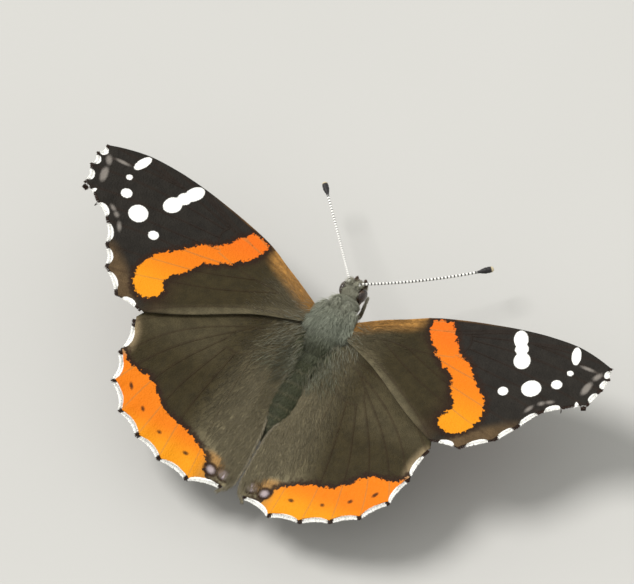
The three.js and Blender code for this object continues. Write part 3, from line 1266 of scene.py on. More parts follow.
    def fringe(self) -> Coat:
        """Set cilia round the outer margin: a white lens in each bay and dark at the vein ends.

        Returns:
            The coat of cilia.
        """
        coat = Coat(Tuft(flat=0.35, levels=((0, 0), (0.1, 0.9), (0.85, 0.9), (1.0, 0.0))))
        count = int(runs_of(self.margin_line(10)).sum() / self.cilium_gap)
        for layer in range(self.cilium_layers):
            back = np.clip((np.arange(count) + self.rng.random(count)) / count, 0.001, 0.999)
            edge, ahead = self.outline.margin(back), self.outline.margin(back + 0.012)
            run = unit(ahead - self.outline.margin(back - 0.012))
            out = np.column_stack((-run[:, 1], run[:, 0]))
            out *= np.sign(np.sum(out * (edge - np.array(INWARD_OF_MARGINS)), axis=1))[:, None]
            depth, bulge = self.bay_white(back)
            white = depth + self.rng.normal(0, 0.05, count) > 0
            start = self.cilia * np.where(white, self.lap + self.lens * bulge, 1.2)
            reach = start + self.rng.normal(0.02, 0.04, count)
            if layer == 0:
                white &= bulge > 0.4
                start = np.full(count, self.cilia * 1.3)
                reach = self.cilia * self.rng.uniform(0.75, 1.0, count)
            root = edge - out * start[:, None]
            sway = run * self.rng.normal(0, 0.13, count)[:, None]
            base = self.lift(root)
            lie = self.lift(root + (out + sway) * 0.3) - base
            colour = np.where(white[:, None], Pigment.WHITE.linear, Pigment.UMBER.linear)
            up = np.tile(UPWARD, (count, 1))
            base = base + UPWARD * (0.02 * layer - 0.07)
            coat.grow(base, lie, up, reach, self.cilium_width, colour, self.unwrap(root), 0.0)
        return coat

    @staticmethod
    def unwrap(plan: Array) -> Array:
        """Return where places in plan lie on the unwrapped wing."""
        return np.column_stack(((plan[:, 0] + 2.0) / 37.0, (plan[:, 1] + 26.0) / 36.0))

    def hair(
        self,
        plan: Array,
        away: Array,
        length: Array,
        colour: Array,
        rise: float,
        under: bool = False,
    ) -> dict[str, Array]:
        """Describe hair that lies on the wing.

        Args:
            plan: The roots in plan.
            away: The way the hair points in plan.
            length: Each hair's length.
            colour: Each hair's colour.
            rise: How steeply it stands up.
            under: Whether it grows on the under side.

        Returns:
            What Coat.grow takes, but for the width and the arch.
        """
        facing = -1.0 if under else 1.0
        root = self.lift(plan)
        lie = unit(self.lift(plan + unit(away) * 0.4) - root)
        out = np.tile(UPWARD * facing, (len(plan), 1))
        root[:, 2] -= self.thickness if under else 0.0
        lie = lie + out * (rise + self.rng.normal(0, 0.03, len(plan)))[:, None]
        hair = {"roots": root, "lie": lie, "outward": out, "length": length}
        return hair | {"pigment": colour, "patch": self.unwrap(plan)}

    def scatter(self, count: int, density: Callable[[Array], Array]) -> Array:
        """Draw roots on the wing.

        Args:
            count: How many to draw.
            density: How thickly they stand at places in plan, 0 to 1.

        Returns:
            The roots in plan.
        """
        tries = count * 12
        out = self.rng.random(tries) ** 0.8
        back = self.rng.random(tries)
        plan = self.outline.plan(out * self.inset(back), back)
        kept = self.rng.random(len(plan)) < density(plan) * (0.15 + out)
        return plan[kept][:count]

    def fine_hair(self) -> Coat:
        """Lay fine hair over and under the wing, swept away from a place near its root.

        Returns:
            The coat of hair.
        """
        coat = Coat()
        for under, count in zip((False, True), self.hair_counts):
            plan = self.scatter(count, self.furred)
            away = plan - np.array(self.hair_from) + self.rng.normal(0, self.hair_stray, plan.shape)
            least, gain, far = self.hair_growth
            growth = least + gain * smooth(far, 3.0, plan[:, 0])
            length = self.rng.uniform(*self.hair_lengths, len(plan)) * growth
            length = np.maximum(length, self.hair_least)
            shade = self.painted(plan)["under" if under else "ground"]
            brown = self.rng.uniform(0.0, self.hair_brown, len(plan))
            colour = tinted(shade, Pigment.HAIR_BROWN, brown)
            hair = self.hair(plan, away, length, colour, self.hair_rise, under)
            coat.grow(**hair, width=self.hair_width, arch=0.04)
        return coat

    def add_base_fur(self, coat: Coat) -> None:
        """Lay long body-coloured hair from the wing's root over its base.

        Args:
            coat: The coat that takes it.
        """

        def density(spots: Array) -> Array:
            """Thin the fur out to its reach, and behind the chest."""
            return smooth(self.fur_reach, 2.2, spots[:, 0]) ** 1.5 * smooth(-10.0, -7.5, spots[:, 1])

        plan = self.scatter(self.fur_count, density)
        count = len(plan)
        plan[:, 0] -= self.rng.uniform(0.0, self.stub, count) * smooth(self.fur_reach, 2.2, plan[:, 0])
        away = unit(np.array(self.fur_sweep)) + self.rng.normal(0, 0.22, plan.shape)
        size = self.rng.uniform(0.45, 1.0, count) * self.fur_length
        grey = self.rng.uniform(0.1, 0.7, count)
        colour = tinted(all_of(Pigment.HAIR_BROWN, count), Pigment.OLIVE_GREY, grey)
        dark = smooth(-3.0, -7.0, plan[:, 1]) * self.rng.uniform(0.2, 0.9, count)
        colour = tinted(colour, Pigment.DARK_OLIVE, dark)
        coat.grow(**self.hair(plan, away, size, colour, 0.14), width=0.022, arch=0.07)

    def build(self, model: Model, upper: Material, under: Material, hair: Material) -> None:
        """Build the wing and its cilia and hair.

        Args:
            model: The insect.
            upper: The upper side's finish.
            under: The under side's finish.
            hair: The finish of cilia and hair.
        """
        mesh = to_mesh(self.membrane(), *self.vein_bars())
        self.paint(mesh)
        name, side = self.name, self.side.word
        model.add(f"{name}_scales_{side}", mesh, (upper, under), self.slot, (f"{name}_{side}",))
        model.add(f"{name}_fringe_{side}", self.fringe().mesh(self.rng), (hair,), self.slot)
        model.add(f"{name}_hair_{side}", self.root_hair().mesh(self.rng), (hair,), self.slot)


@dataclass
class Forewing(Wing):
    """A black forewing with an orange band, a white bar and white spots."""

    veins: Sequence[Line] = (
        ((2.7, 0.0), (7.0, 2.05), (11.5, 4.1), (16.0, 5.6)),
        ((2.7, -0.3), (7.5, 1.6), (12.0, 3.0), (15.3, 3.7)),
        ((12.0, 3.0), (16.0, 4.7), (20.0, 6.4)),
        ((14.5, 3.6), (18.5, 5.4), (23.0, 6.8)),
        ((15.3, 3.7), (18.5, 4.6), (22.0, 5.5), (27.0, 6.95)),
        ((22.0, 5.5), (26.5, 6.1), (30.5, 6.3)),
        ((22.0, 5.5), (27.5, 5.4), (32.2, 4.8)),
        ((15.6, 3.3), (21.0, 3.8), (27.0, 3.8), (32.1, 3.2)),
        ((15.6, 2.2), (21.0, 2.0), (27.0, 1.5), (31.6, 0.95)),
        ((14.9, 0.9), (20.0, 0.4), (25.0, 0.1), (29.4, -0.35)),
        ((2.7, -1.2), (7.0, -0.7), (11.0, -0.4), (14.9, 0.6)),
        ((12.5, -0.2), (17.5, -0.9), (22.5, -1.2), (27.2, -1.85)),
        ((9.5, -0.5), (15.0, -2.4), (21.0, -3.6), (25.9, -4.4)),
        ((6.5, -0.8), (12.5, -3.6), (19.0, -5.6), (24.4, -6.9)),
        ((2.7, -1.8), (8.5, -4.1), (14.5, -7.3), (18.3, -9.9)),
        ((15.3, 3.7), (15.75, 2.8), (15.6, 1.6), (14.9, 0.8)),
    )
    white_shares: Point = (0.62, 0.62, 0.55, 0.16, 0.66, 0.74, 0.66, 0.62, 0.5)
    whites: Sequence[Spot] = (
        Spot(20.65, 5.45, 1.15, 0.78, -55.0),
        Spot(21.35, 4.4, 0.75, 0.72),
        Spot(22.1, 3.15, 1.05, 0.92, -50.0),
        Spot(27.42, 6.0, 1.1, 0.52, -64.0),
        Spot(27.88, 3.85, 0.36, 0.32),
        Spot(27.2, 2.03, 0.62, 0.56),
        Spot(24.85, 0.48, 1.1, 1.0, 10.0),
        Spot(22.1, -1.02, 0.58, 0.52),
    )
    dusts: Sequence[Spot] = (
        Spot(30.9, 4.65, 0.6, 0.34, 60.0),
        Spot(30.5, 2.9, 0.9, 0.42, 80.0),
        Spot(29.4, 5.1, 0.9, 0.2),
        Spot(27.6, -0.2, 0.45, 0.22, 30.0),
        Spot(26.85, -0.75, 0.4, 0.25, 40.0),
        Spot(25.9, -1.85, 0.55, 0.24, 60.0),
    )
    band: Line = (
        (10.4, 3.75), (10.75, 2.5), (11.5, 1.5), (12.0, 0.95), (12.55, 0.75), (12.85, 0.0), (14.0, -0.4),
        (14.4, -0.95), (15.5, -1.2), (16.2, -2.0), (16.7, -3.2), (17.5, -4.0), (18.2, -4.8), (18.0, -5.9),
        (17.5, -6.8), (17.8, -7.6), (18.5, -8.2), (19.5, -8.35), (20.5, -7.8), (21.2, -6.8), (21.6, -5.6),
        (21.4, -4.2), (20.8, -2.9), (19.7, -2.05), (18.6, -1.2), (17.5, -0.1), (16.7, 0.7), (15.6, 0.95),
        (14.75, 1.75), (13.7, 3.1), (12.6, 4.35), (11.4, 4.2),
    )
    spine: Line = (
        (18.6, -10.0), (19.6, -6.0), (19.0, -3.2), (16.6, -0.6), (13.4, 1.2), (11.4, 4.2), (11.0, 8.0),
    )
    tornus: Spot = Spot(22.6, -8.4, 6.5, 2.2, 48.0)
    root_flush: Spot = Spot(7.5, 0.6, 3.2, 1.0, 24.0)
    rings: Sequence[Spot] = (Spot(13.2, 3.4, 1.4, 0.9, -60.0), Spot(17.2, 3.2, 1.2, 0.5, -50.0))

    def plane(self, plan: Array) -> Array:
        """Return the height of the forewing's upper surface, low in its solid."""
        return self.forewing_plane(plan) - self.settle

    def painted(self, plan: Array) -> dict[str, Array]:
        """Work out the forewing's colours and markings.

        Args:
            plan: Places in plan.

        Returns:
            The fields by name.
        """
        x, y = plan.T
        count = len(plan)
        spine = np.asarray(self.spine)
        beyond = x - np.interp(y, spine[:, 1], spine[:, 0])
        costa = curve_gap(plan, self.outline.costa, 30)
        inner = curve_gap(plan, self.outline.inner, 20)
        front = smooth(2.1, 0.5, costa) * smooth(10.6, 8.6, x)
        band = depth_in(plan, self.band)
        return {
            "ground": layered(
                Pigment.BROWN,
                (Pigment.BLACK, smooth(-1.6, 0.6, beyond)),
                (Pigment.UMBER, smooth(-4.5, -1.2, beyond) * smooth(0.4, -1.6, beyond) * 0.6),
                (Pigment.PALE_BROWN, smooth(9.5, 2.5, x) * 0.45),
                (Pigment.RUST, front * 0.95),
                (Pigment.RUST, smooth(0.22, 0.05, costa) * smooth(20.0, 10.0, x) * 0.5),
                (Pigment.TORNUS, smooth(-0.4, 1.8, self.tornus.depth(plan)) * 0.7),
                # Painted highlight: a paler strip along the forewing's raised rear edge, where it catches
                # the light.
                (Pigment.PALE_BROWN, smooth(1.4, 0.2, inner) * smooth(20, 12, x) * 0.4),
            ),
            "glow": layered(
                Pigment.RED_ORANGE,
                (Pigment.ORANGE, smooth(3.6, -1.5, y)),
                (Pigment.YELLOW_ORANGE, smooth(-1.5, -7.0, y)),
            ),
            "band": band,
            "dark": np.full(count, NOWHERE),
            "dust": deepest(plan, self.dusts),
            "white": deepest(plan, self.whites),
            "under": layered(
                Pigment.BLACK, (Pigment.BUFF, smooth(3.0, 0.3, inner) * 0.7), (Pigment.TAN, front)
            ),
            "marbled": smooth(22.5, 26.5, x + 0.35 * y),
            "rosy": np.maximum(band - 0.05, self.root_flush.depth(plan)),
            "ring": deepest(plan, self.rings),
        }


@dataclass
class Hindwing(Wing):
    """A brown hindwing with an orange border and four dark dots.

    Its inner edge folds down to the abdomen by the depth named fold.
    """

    outline: Outline = HIND_OUTLINE
    name: str = "hindwing"
    cells: tuple[int, int] = (130, 126)
    cilia: float = 0.5
    lens: float = 0.5
    stub: float = 1.4
    fold: float = 1.0
    hair_counts: tuple[int, int] = (6500, 1500)
    hair_lengths: Pair = (0.5, 1.2)
    hair_growth: tuple[float, float, float] = (0.0, 1.0, 14.0)
    hair_least: float = 0.35
    hair_width: float = 0.019
    hair_rise: float = 0.03
    hair_stray: float = 0.9
    hair_brown: float = 0.35
    hair_from: Pair = (-1.5, 4.0)
    hair_end: float = 9.5
    hair_fade: float = 1.3
    fur_count: int = 2300
    fur_reach: float = 6.0
    fur_sweep: Pair = (0.55, -0.85)
    fur_length: float = 2.0
    veins: Sequence[Line] = (
        ((2.6, -3.6), (8.0, -4.9), (14.0, -7.6), (18.3, -11.1)),
        ((5.5, -5.0), (11.0, -8.0), (15.0, -11.2), (18.0, -15.0)),
        ((8.0, -7.0), (12.5, -11.0), (15.5, -14.7), (17.3, -18.0)),
        ((8.6, -8.2), (12.0, -13.0), (14.0, -17.0), (15.1, -20.7)),
        ((8.2, -9.2), (10.6, -15.0), (11.6, -19.0), (12.2, -22.2)),
        ((7.0, -9.3), (8.4, -15.5), (8.9, -19.5), (9.0, -23.4)),
        ((5.2, -8.4), (5.6, -15.5), (5.4, -20.0), (5.2, -24.0)),
        ((2.8, -6.0), (2.6, -12.0), (2.2, -18.0), (1.6, -23.1)),
        ((2.6, -4.2), (5.5, -5.0), (8.0, -7.0), (8.6, -8.2)),
        ((2.6, -5.2), (5.2, -8.4), (7.0, -9.3), (8.2, -9.2)),
    )
    white_shares: Point = (0.62, 0.84, 0.82, 0.78, 0.8, 0.82, 0.86)
    dots: Sequence[Spot] = (
        Spot(15.4, -17.75, 0.42, 0.2, 52.0),
        Spot(13.1, -19.4, 0.3, 0.2, 40.0),
        Spot(10.3, -20.85, 0.26, 0.19),
        Spot(6.67, -21.6, 0.34, 0.2),
    )
    tail_spots: Sequence[Spot] = (
        Spot(3.4, -21.95, 0.5, 0.38, 20.0),
        Spot(1.75, -21.85, 0.66, 0.48, 10.0),
    )
    tail_gap: Spot = Spot(2.6, -21.7, 0.3, 0.5)
    above_tail: Spot = Spot(3.3, -20.9, 2.0, 0.9, 15.0)
    front_corner: Spot = Spot(18.4, -12.9, 3.0, 1.7, 80.0)
    border_front: Spot = Spot(18.4, -14.0, 2.3, 1.8)
    border: Line = (
        (18.3, -14.2), (17.4, -15.3), (16.6, -15.7), (15.6, -15.85), (14.2, -15.95), (13.0, -16.65),
        (11.8, -17.85), (10.75, -18.7), (9.2, -19.05), (7.9, -19.3), (6.6, -19.75), (5.5, -20.4),
        (4.35, -21.0), (4.1, -22.3), (3.2, -23.1), (2.2, -23.3), (1.0, -26.0), (14.0, -27.0),
        (24.0, -20.0), (22.0, -13.0),
    )

    def plane(self, plan: Array) -> Array:
        """Find the hindwing's height: under the forewing, then rising behind it to its own plane.

        Args:
            plan: Places in plan.

        Returns:
            The height of each.
        """
        own = 2.3 + math.tan(math.radians(8.6)) * plan[:, 0] + math.tan(math.radians(7.8)) * plan[:, 1]
        behind = np.maximum(0.0, -self.ahead_of_forewing(plan))
        under = self.forewing_plane(plan) - 0.9 + self.settle + 0.24 * behind
        inner = curve_gap(plan, self.outline.inner, 24)
        fold = self.fold * smooth(1.9, 0.0, inner) * smooth(-16.0, -11.5, plan[:, 1])
        return (own + under - np.hypot(own - under, 0.35)) / 2 - fold

    def painted(self, plan: Array) -> dict[str, Array]:
        """Work out the hindwing's colours and markings.

        Args:
            plan: Places in plan.

        Returns:
            The fields by name.
        """
        x, y = plan.T
        count = len(plan)
        inner = x + 0.12 * (y + 14.0)
        tails = deepest(plan, self.tail_spots)
        around = np.minimum(tails + 0.42, 0.12 - tails)
        rings = [Spot(dot.x, dot.y, 0.9, 0.8) for dot in self.dots]
        return {
            "ground": layered(
                Pigment.BROWN,
                # Paler inner half: partly the paler hair there, partly a painted satin sheen.
                (Pigment.PALE_BROWN, smooth(8.5, 2.5, inner) * 0.9),
                (Pigment.PALE_BROWN, smooth(-13.5, -9.5, y) * smooth(6, 10, x) * 0.15),
                (Pigment.BUFF, smooth(0.0, 1.5, self.front_corner.depth(plan)) * 0.75),
                (Pigment.RUST, smooth(-0.2, 0.9, self.above_tail.depth(plan)) * 0.7),
                (Pigment.DARK_OLIVE, smooth(3.2, 2.0, x) * smooth(-8.0, -6.0, y)),
            ),
            "glow": layered(
                Pigment.ORANGE,
                (Pigment.YELLOW_ORANGE, smooth(-19.5, -22.5, y)),
                (Pigment.BUFF, smooth(0.1, 1.3, self.border_front.depth(plan)) * 0.85),
                (Pigment.RUST, smooth(5.4, 3.6, x) * 0.7),
            ),
            "band": depth_in(plan, self.border),
            "dark": np.maximum(deepest(plan, (*self.dots, self.tail_gap)), around),
            "dust": tails,
            "white": np.full(count, NOWHERE),
            "under": all_of(Pigment.DARK_TAN, count),
            "marbled": np.full(count, 0.92),
            "rosy": np.full(count, NOWHERE),
            "ring": np.minimum(deepest(plan, rings) + 0.2, 1.0) - 0.1,
        }

    def furred(self, plan: Array) -> Array:
        """Return how thickly fine hair stands, clear of the border."""
        return super().furred(plan) * smooth(-1.2, -2.6, depth_in(plan, self.border))

    def root_hair(self) -> Coat:
        """Return the hair on the hindwing, with loose hair past its inner margin."""
        coat = super().root_hair()
        self.add_inner_cilia(coat, 2400)
        return coat

    def add_inner_cilia(self, coat: Coat, count: int) -> None:
        """Set loose hair along the inner margin, pointing tailward and in.

        Args:
            coat: The coat that takes it.
            count: How many tufts.
        """
        share = self.rng.random(count) ** 0.85 * 0.97
        edge = spline(self.outline.inner, share)
        beyond = spline(self.outline.inner, np.minimum(share + 0.02, 1.0))
        ahead = unit(beyond - spline(self.outline.inner, share - 0.02))
        inward = np.column_stack((-np.ones(count), np.zeros(count)))
        away = ahead + inward * self.rng.uniform(0.05, 0.6, count)[:, None]
        pale = self.rng.uniform(0.0, 0.3, count)
        colour = tinted(all_of(Pigment.HAIR_BROWN, count), Pigment.PALE_HAIR, pale)
        length = self.rng.uniform(0.4, 1.0, count)
        coat.grow(**self.hair(edge + inward * -0.12, away, length, colour, 0.0), width=0.02, arch=0.04)


@dataclass(frozen=True)
class Leg:
    """One leg in standing places, from the hip to the toe, on the right side."""

    name: str
    coxa: Point
    hip: Point
    knee: Point
    ankle: Point
    toe: Point

    def bones(self, axes: Axes, side: Side) -> dict[str, Array]:
        """Place the leg's joints.

        Args:
            axes: The insect's axes.
            side: The leg's side.

        Returns:
            The ends of each length of leg, by its name.
        """
        joints = axes.from_floor((self.coxa, self.hip, self.knee, self.ankle, self.toe))
        joints[:, 0] *= side.value
        names = ("coxa", "femur", "tibia", "tarsus")
        return {name: joints[number : number + 2] for number, name in enumerate(names)}


MIDDLE_LEG = Leg(
    "midleg",
    coxa=(0.9, -0.9, 6.1),
    hip=(2.1, -0.9, 5.2),
    knee=(5.4, -1.2, 6.7),
    ankle=(7.9, -0.2, 2.1),
    toe=(9.32, 2.66, 0.13),
)
HIND_LEG = Leg(
    "hindleg",
    coxa=(0.9, -3.6, 6.1),
    hip=(1.9, -4.2, 5.2),
    knee=(5.2, -6.2, 6.6),
    ankle=(7.4, -8.8, 2.2),
    toe=(8.55, -12.42, 0.13),
)


@dataclass(frozen=True)
class HairKind:
    """One kind of hair: how many tufts, their least and greatest length and half width, and their lie.

    Rise is how steeply a tuft stands, stray how much it strays and arch how much it is bent.
    """

    name: str
    count: int
    length: Pair
    width: float
    rise: float
    stray: float = 0.18
    arch: float = 0.1


HAIR_KINDS = (
    HairKind("thorax_hair", 15500, (0.6, 1.35), 0.024, 0.24),
    HairKind("head_hair", 8500, (0.4, 0.95), 0.018, 0.48),
    HairKind("abdomen_hair", 13500, (0.4, 0.8), 0.022, 0.12),
    HairKind("palp_hair", 4200, (0.14, 0.32), 0.015, 0.4),
    HairKind("leg_hair", 7500, (0.1, 0.2), 0.018, 0.2),
)
BRISTLES = HairKind("bristles", 700, (0.2, 0.34), 0.014, 0.9, stray=0.1, arch=0.02)


@dataclass
class Body:
    """Head, trunk, abdomen, palps and legs under one skin, with their hair."""

    axes: Axes
    voxel: float = 0.075
    clearance: float = 0.06
    seed: int = 11
    legs: Sequence[Leg] = (MIDDLE_LEG, HIND_LEG)
    femur: Point = (0.2, 0.28, 0.24, 0.17)
    tibia: Point = (0.16, 0.19, 0.18, 0.15)
    tarsus: Point = (0.12, 0.13, 0.11, 0.13, 0.1, 0.12, 0.1, 0.11, 0.08, 0.1, 0.07)
    coxa: Point = (0.6, 0.5, 0.3)
    palp: Line = ((0.42, 3.9, -1.9), (0.62, 4.55, -1.85), (0.62, 5.05, -1.4), (0.5, 5.42, -0.75))
    foreleg: Line = ((0.9, 1.4, -2.5), (1.2, 2.2, -3.05), (1.1, 3.4, -3.05), (1.0, 4.5, -2.9))
    rings: Point = (-7.4, -8.9, -10.4, -11.9, -13.2, -14.4, -15.4)
    rng: np.random.Generator = field(init=False)

    def __post_init__(self) -> None:
        """Seed the body's own draws."""
        self.rng = np.random.default_rng(self.seed)

    @staticmethod
    def girth(along: Array, front: float, rear: float) -> Array:
        """Return the share of full girth along a form that is rounded over its two ends."""
        lead, trail = np.minimum(1, along / front), np.minimum(1, (1 - along) / rear)
        return np.sqrt(np.maximum(0, 1 - (1 - lead) ** 2)) * np.sqrt(np.maximum(0, 1 - (1 - trail) ** 2))

    def thorax(self) -> Form:
        """Make the full chest, humped over the wing roots."""

        def place(turned: Array, along: Array) -> Array:
            """Set a corner of the chest."""
            girth = self.girth(along, 0.4, 0.32) * (1 - 0.12 * smooth(0.5, 1.0, along))
            hump = 1 + 0.12 * np.exp(-(((along - 0.42) / 0.22) ** 2))
            angle = turned * math.tau
            up = np.sin(angle)
            cleft = 1 - 0.03 * np.exp(-((np.cos(angle) / 0.12) ** 2)) * (up > 0)
            rise = girth * 2.15 * np.where(up > 0, hump, 1.0) * cleft
            return np.column_stack((girth * 2.1 * np.cos(angle), 1.75 - 7.25 * along, -1.2 + rise * up))

        return closed(mapped_grid(56, 56, place))

    def abdomen(self) -> Form:
        """Make the abdomen, drawn in a little at each ring."""

        def place(turned: Array, along: Array) -> Array:
            """Set a corner of the abdomen."""
            y = -5.2 - 11.1 * along
            drawn = np.sum([0.05 * np.exp(-(((y - ring) / 0.15) ** 2)) for ring in self.rings], axis=0)
            girth = self.girth(along, 0.2, 0.7) * (1 - drawn)
            angle = turned * math.tau
            x, z = girth * 1.88 * np.cos(angle), girth * 1.7 * np.sin(angle)
            return np.column_stack((x, y, -1.4 + 0.4 * along + z))

        return closed(mapped_grid(48, 160, place))

    def head(self) -> list[Form]:
        """Make the skull and face, the neck and waist, and on each side what bulges from them."""
        skull = ball((0, 3.4, -0.75), (1.08, 1.02, 1.0))
        brow = ball((0, 4.05, -0.85), (0.62, 0.6, 0.72))
        mouth = ball((0, 3.9, -1.55), (0.5, 0.55, 0.42))
        neck = ball((0, 2.2, -0.8), (1.15, 1.0, 1.05))
        waist = ball((0, -5.2, -1.35), (1.75, 1.9, 1.45))
        forms = [skull, brow, mouth, neck, waist]
        for side in Side:
            sign = side.value
            forms += [
                ball((sign * 0.52, 4.0, 0.02), (0.26, 0.26, 0.26), steps=16),
                ball((sign * 0.62, 1.55, 0.3), (0.55, 0.5, 0.5), steps=20),
                ball((sign * 1.75, 0.0, 0.35), (0.5, 1.25, 0.42), sign * 14, 24),
                ball((sign * 1.9, -1.2, 0.1), (0.85, 1.2, 0.42), steps=24),
            ]
        return forms

    def mirrored(self, line: Line, side: Side) -> Array:
        """Return a line of the right side as the given side has it."""
        return np.asarray(line) * np.array((side.value, 1.0, 1.0))

    def bones(self) -> list[tuple[str, Array]]:
        """Return the ends of every length of leg with its name."""
        return [
            (f"{leg.name}_{name}_{side.word}", ends)
            for leg in self.legs
            for side in Side
            for name, ends in leg.bones(self.axes, side).items()
        ]

    def limbs(self) -> list[Form]:
        """Make the palps, the folded forelegs and the four walking legs."""
        forms = []
        for side in Side:
            forms.append(bar(self.mirrored(self.palp, side), (0.16, 0.24, 0.25, 0.2, 0.08)))
            forms.append(bar(self.mirrored(self.foreleg, side), (0.24, 0.22, 0.16, 0.16, 0.1)))
        for name, ends in self.bones():
            radii = getattr(self, name.split("_")[1])
            forms.append(bar(ends, radii, 40 if "tarsus" in name else 24))
        return forms

    def skin(self) -> Mesh:
        """Join every form of flesh in one smooth skin.

        Returns:
            The skin, in millimetres.
        """
        flesh = to_mesh(self.thorax(), self.abdomen(), *self.head(), *self.limbs())
        rough = show("rough", flesh)
        remesh = rough.modifiers.new("remesh", "REMESH")
        remesh.mode = "VOXEL"
        remesh.voxel_size = self.voxel
        smoothed = rough.modifiers.new("smooth", "SMOOTH")
        smoothed.factor = 0.5
        smoothed.iterations = 2
        graph = bpy.context.evaluated_depsgraph_get()
        skin = bpy.data.meshes.new_from_object(rough.evaluated_get(graph))
        bpy.data.objects.remove(rough)
        return skin

    def leg_share(self, points: Array) -> tuple[Array, Array, Array]:
        """Find the length of leg nearest to each place.

        Args:
            points: The places.

        Returns:
            Its distance, its number among the bones, and how far along it the place is.
        """
        found = [nearest_on(points, ends) for _, ends in self.bones()]
        gaps, shares = np.array([gap for gap, _ in found]), np.array([share for _, share in found])
        which = gaps.argmin(axis=0)
        order = np.arange(len(points))
        return gaps[which, order], which, shares[which, order]

    def near(self, points: Array, line: Line, start: float, reach: float) -> Array:
        """Return which places lie within reach of a line, past its start, on either side."""
        gaps = [curve_gap(points, self.mirrored(line, side), 12, start) for side in Side]
        return np.min(gaps, axis=0) < reach

    def region(self, points: Array) -> dict[str, Array]:
        """Sort places by what they belong to.

        Args:
            points: Places on the skin.

        Returns:
            For each part of the body, where it holds.
        """
        gap, which, _ = self.leg_share(points)
        coxal = np.array(["coxa" in name for name, _ in self.bones()])[which]
        palp = self.near(points, self.palp, 0.25, 0.36)
        foreleg = self.near(points, self.foreleg, 0.3, 0.33)
        leg = (gap < 0.42) & ~coxal
        rest = ~(leg | palp | foreleg)
        y = points[:, 1]
        return {
            "leg": leg,
            "palp": palp & ~leg,
            "foreleg": foreleg & ~leg & ~palp,
            "head": rest & (y > NECK),
            "thorax": rest & (y <= NECK) & (y > WAIST),
            "abdomen": rest & (y <= WAIST),
        }

    def leg_colour(self, points: Array) -> Array:
        """Work out the colour of the legs: darker thighs and ringed feet.

        Args:
            points: The places.

        Returns:
            Their colours.
        """
        _, which, share = self.leg_share(points)
        parts = np.array([name.split("_")[1] for name, _ in self.bones()])[which]
        rings = 0.35 + 0.5 * (np.sin(share * 5 * math.tau) > 0.2)
        banded = np.where(parts == "tarsus", rings, 0.5 * smooth(0.5, 1.0, share))
        dark = np.where(parts == "femur", 0.75 * smooth(1.0, 0.4, share), banded)
        return layered(Pigment.TAN, (Pigment.DARK_TAN, dark))

    def colour(self, points: Array) -> Array:
        """Work out the colour of skin and hair at places on the body.

        Args:
            points: The places.

        Returns:
            Their colours.
        """
        x, y, z = points.T
        region = self.region(points)
        centre = np.where(y > WAIST, -1.2, -1.3)
        up = np.clip((z - centre) / np.maximum(np.hypot(x, z - centre), 0.2), -1, 1)
        ringed = np.max([np.exp(-(((y - ring + 0.12) / 0.16) ** 2)) for ring in self.rings], axis=0)
        chest = layered(
            Pigment.HAIR_BROWN,
            (Pigment.OLIVE_GREY, smooth(-0.3, 0.75, up)),
            # Painted sheen: the upward-facing front of the chest is lightened.
            (Pigment.PALE_HAIR, smooth(-0.8, 2.0, y) * smooth(0.0, 0.8, up) * 0.3),
            (Pigment.DARK_OLIVE, smooth(-1.2, -4.2, y) * smooth(0.0, 0.8, up) * 0.9),
            (Pigment.BUFF, smooth(-0.45, -0.95, up) * 0.75),
        )
        tail = layered(
            Pigment.BUFF,
            (Pigment.HAIR_BROWN, smooth(-0.7, -0.1, up)),
            (Pigment.DARK_OLIVE, smooth(-0.1, 0.6, up)),
            (Pigment.BUFF, ringed * 0.12),
        )
        face = layered(
            Pigment.HAIR_BROWN,
            (Pigment.OLIVE_GREY, smooth(-0.2, 0.6, z + 0.4) * 0.7),
            (Pigment.PALE_HAIR, smooth(-0.6, 0.3, z) * 0.4),
            (Pigment.DARK_TAN, smooth(3.9, 4.5, y) * 0.7),
            (Pigment.PALE_HAIR, smooth(-1.4, -2.0, z) * 0.7),
        )
        palp = layered(Pigment.PALE_HAIR, (Pigment.DARK_TAN, smooth(-1.75, -1.25, z)))
        foreleg = layered(Pigment.HAIR_BROWN, (Pigment.PALE_HAIR, smooth(2.2, 4.0, y) * 0.8))
        colour = chest + (tail - chest) * smooth(-5.4, -6.4, y)[:, None]
        colour = colour + (face - colour) * smooth(2.3, 3.4, y)[:, None]
        colour = np.where(region["palp"][:, None], palp, colour)
        colour = np.where(region["foreleg"][:, None], foreleg, colour)
        return np.where(region["leg"][:, None], self.leg_colour(points), colour)

    def unwrap(self, points: Array) -> Array:
        """Find where places lie on the body unwrapped round its length, with each leg in its own strip.

        Args:
            points: Places on the skin.

        Returns:
            Their places on the unwrap.
        """
        x, y, z = points.T
        around = np.arctan2(x, z + 1.25) / math.tau + 0.5
        trunk = np.column_stack((0.02 + 0.46 * around, 0.02 + 0.96 * (y + 17.0) / 23.0))
        _, which, share = self.leg_share(points)
        starts, ends = (np.array([bone[end] for _, bone in self.bones()])[which] for end in (0, 1))
        axis = unit(ends - starts)
        off = points - starts
        off = off - axis * np.sum(off * axis, axis=1)[:, None]
        aside = unit(np.cross(axis, np.array((0.3, 0.9, 0.3))))
        over = np.cross(axis, aside)
        angle = np.arctan2(np.sum(off * over, axis=1), np.sum(off * aside, axis=1)) / math.tau + 0.5
        strips = len(self.bones())
        limb = np.column_stack((0.5 + 0.49 * (which + 0.1 + 0.8 * angle) / strips, 0.02 + 0.96 * share))
        return np.where(self.region(points)["leg"][:, None], limb, trunk)

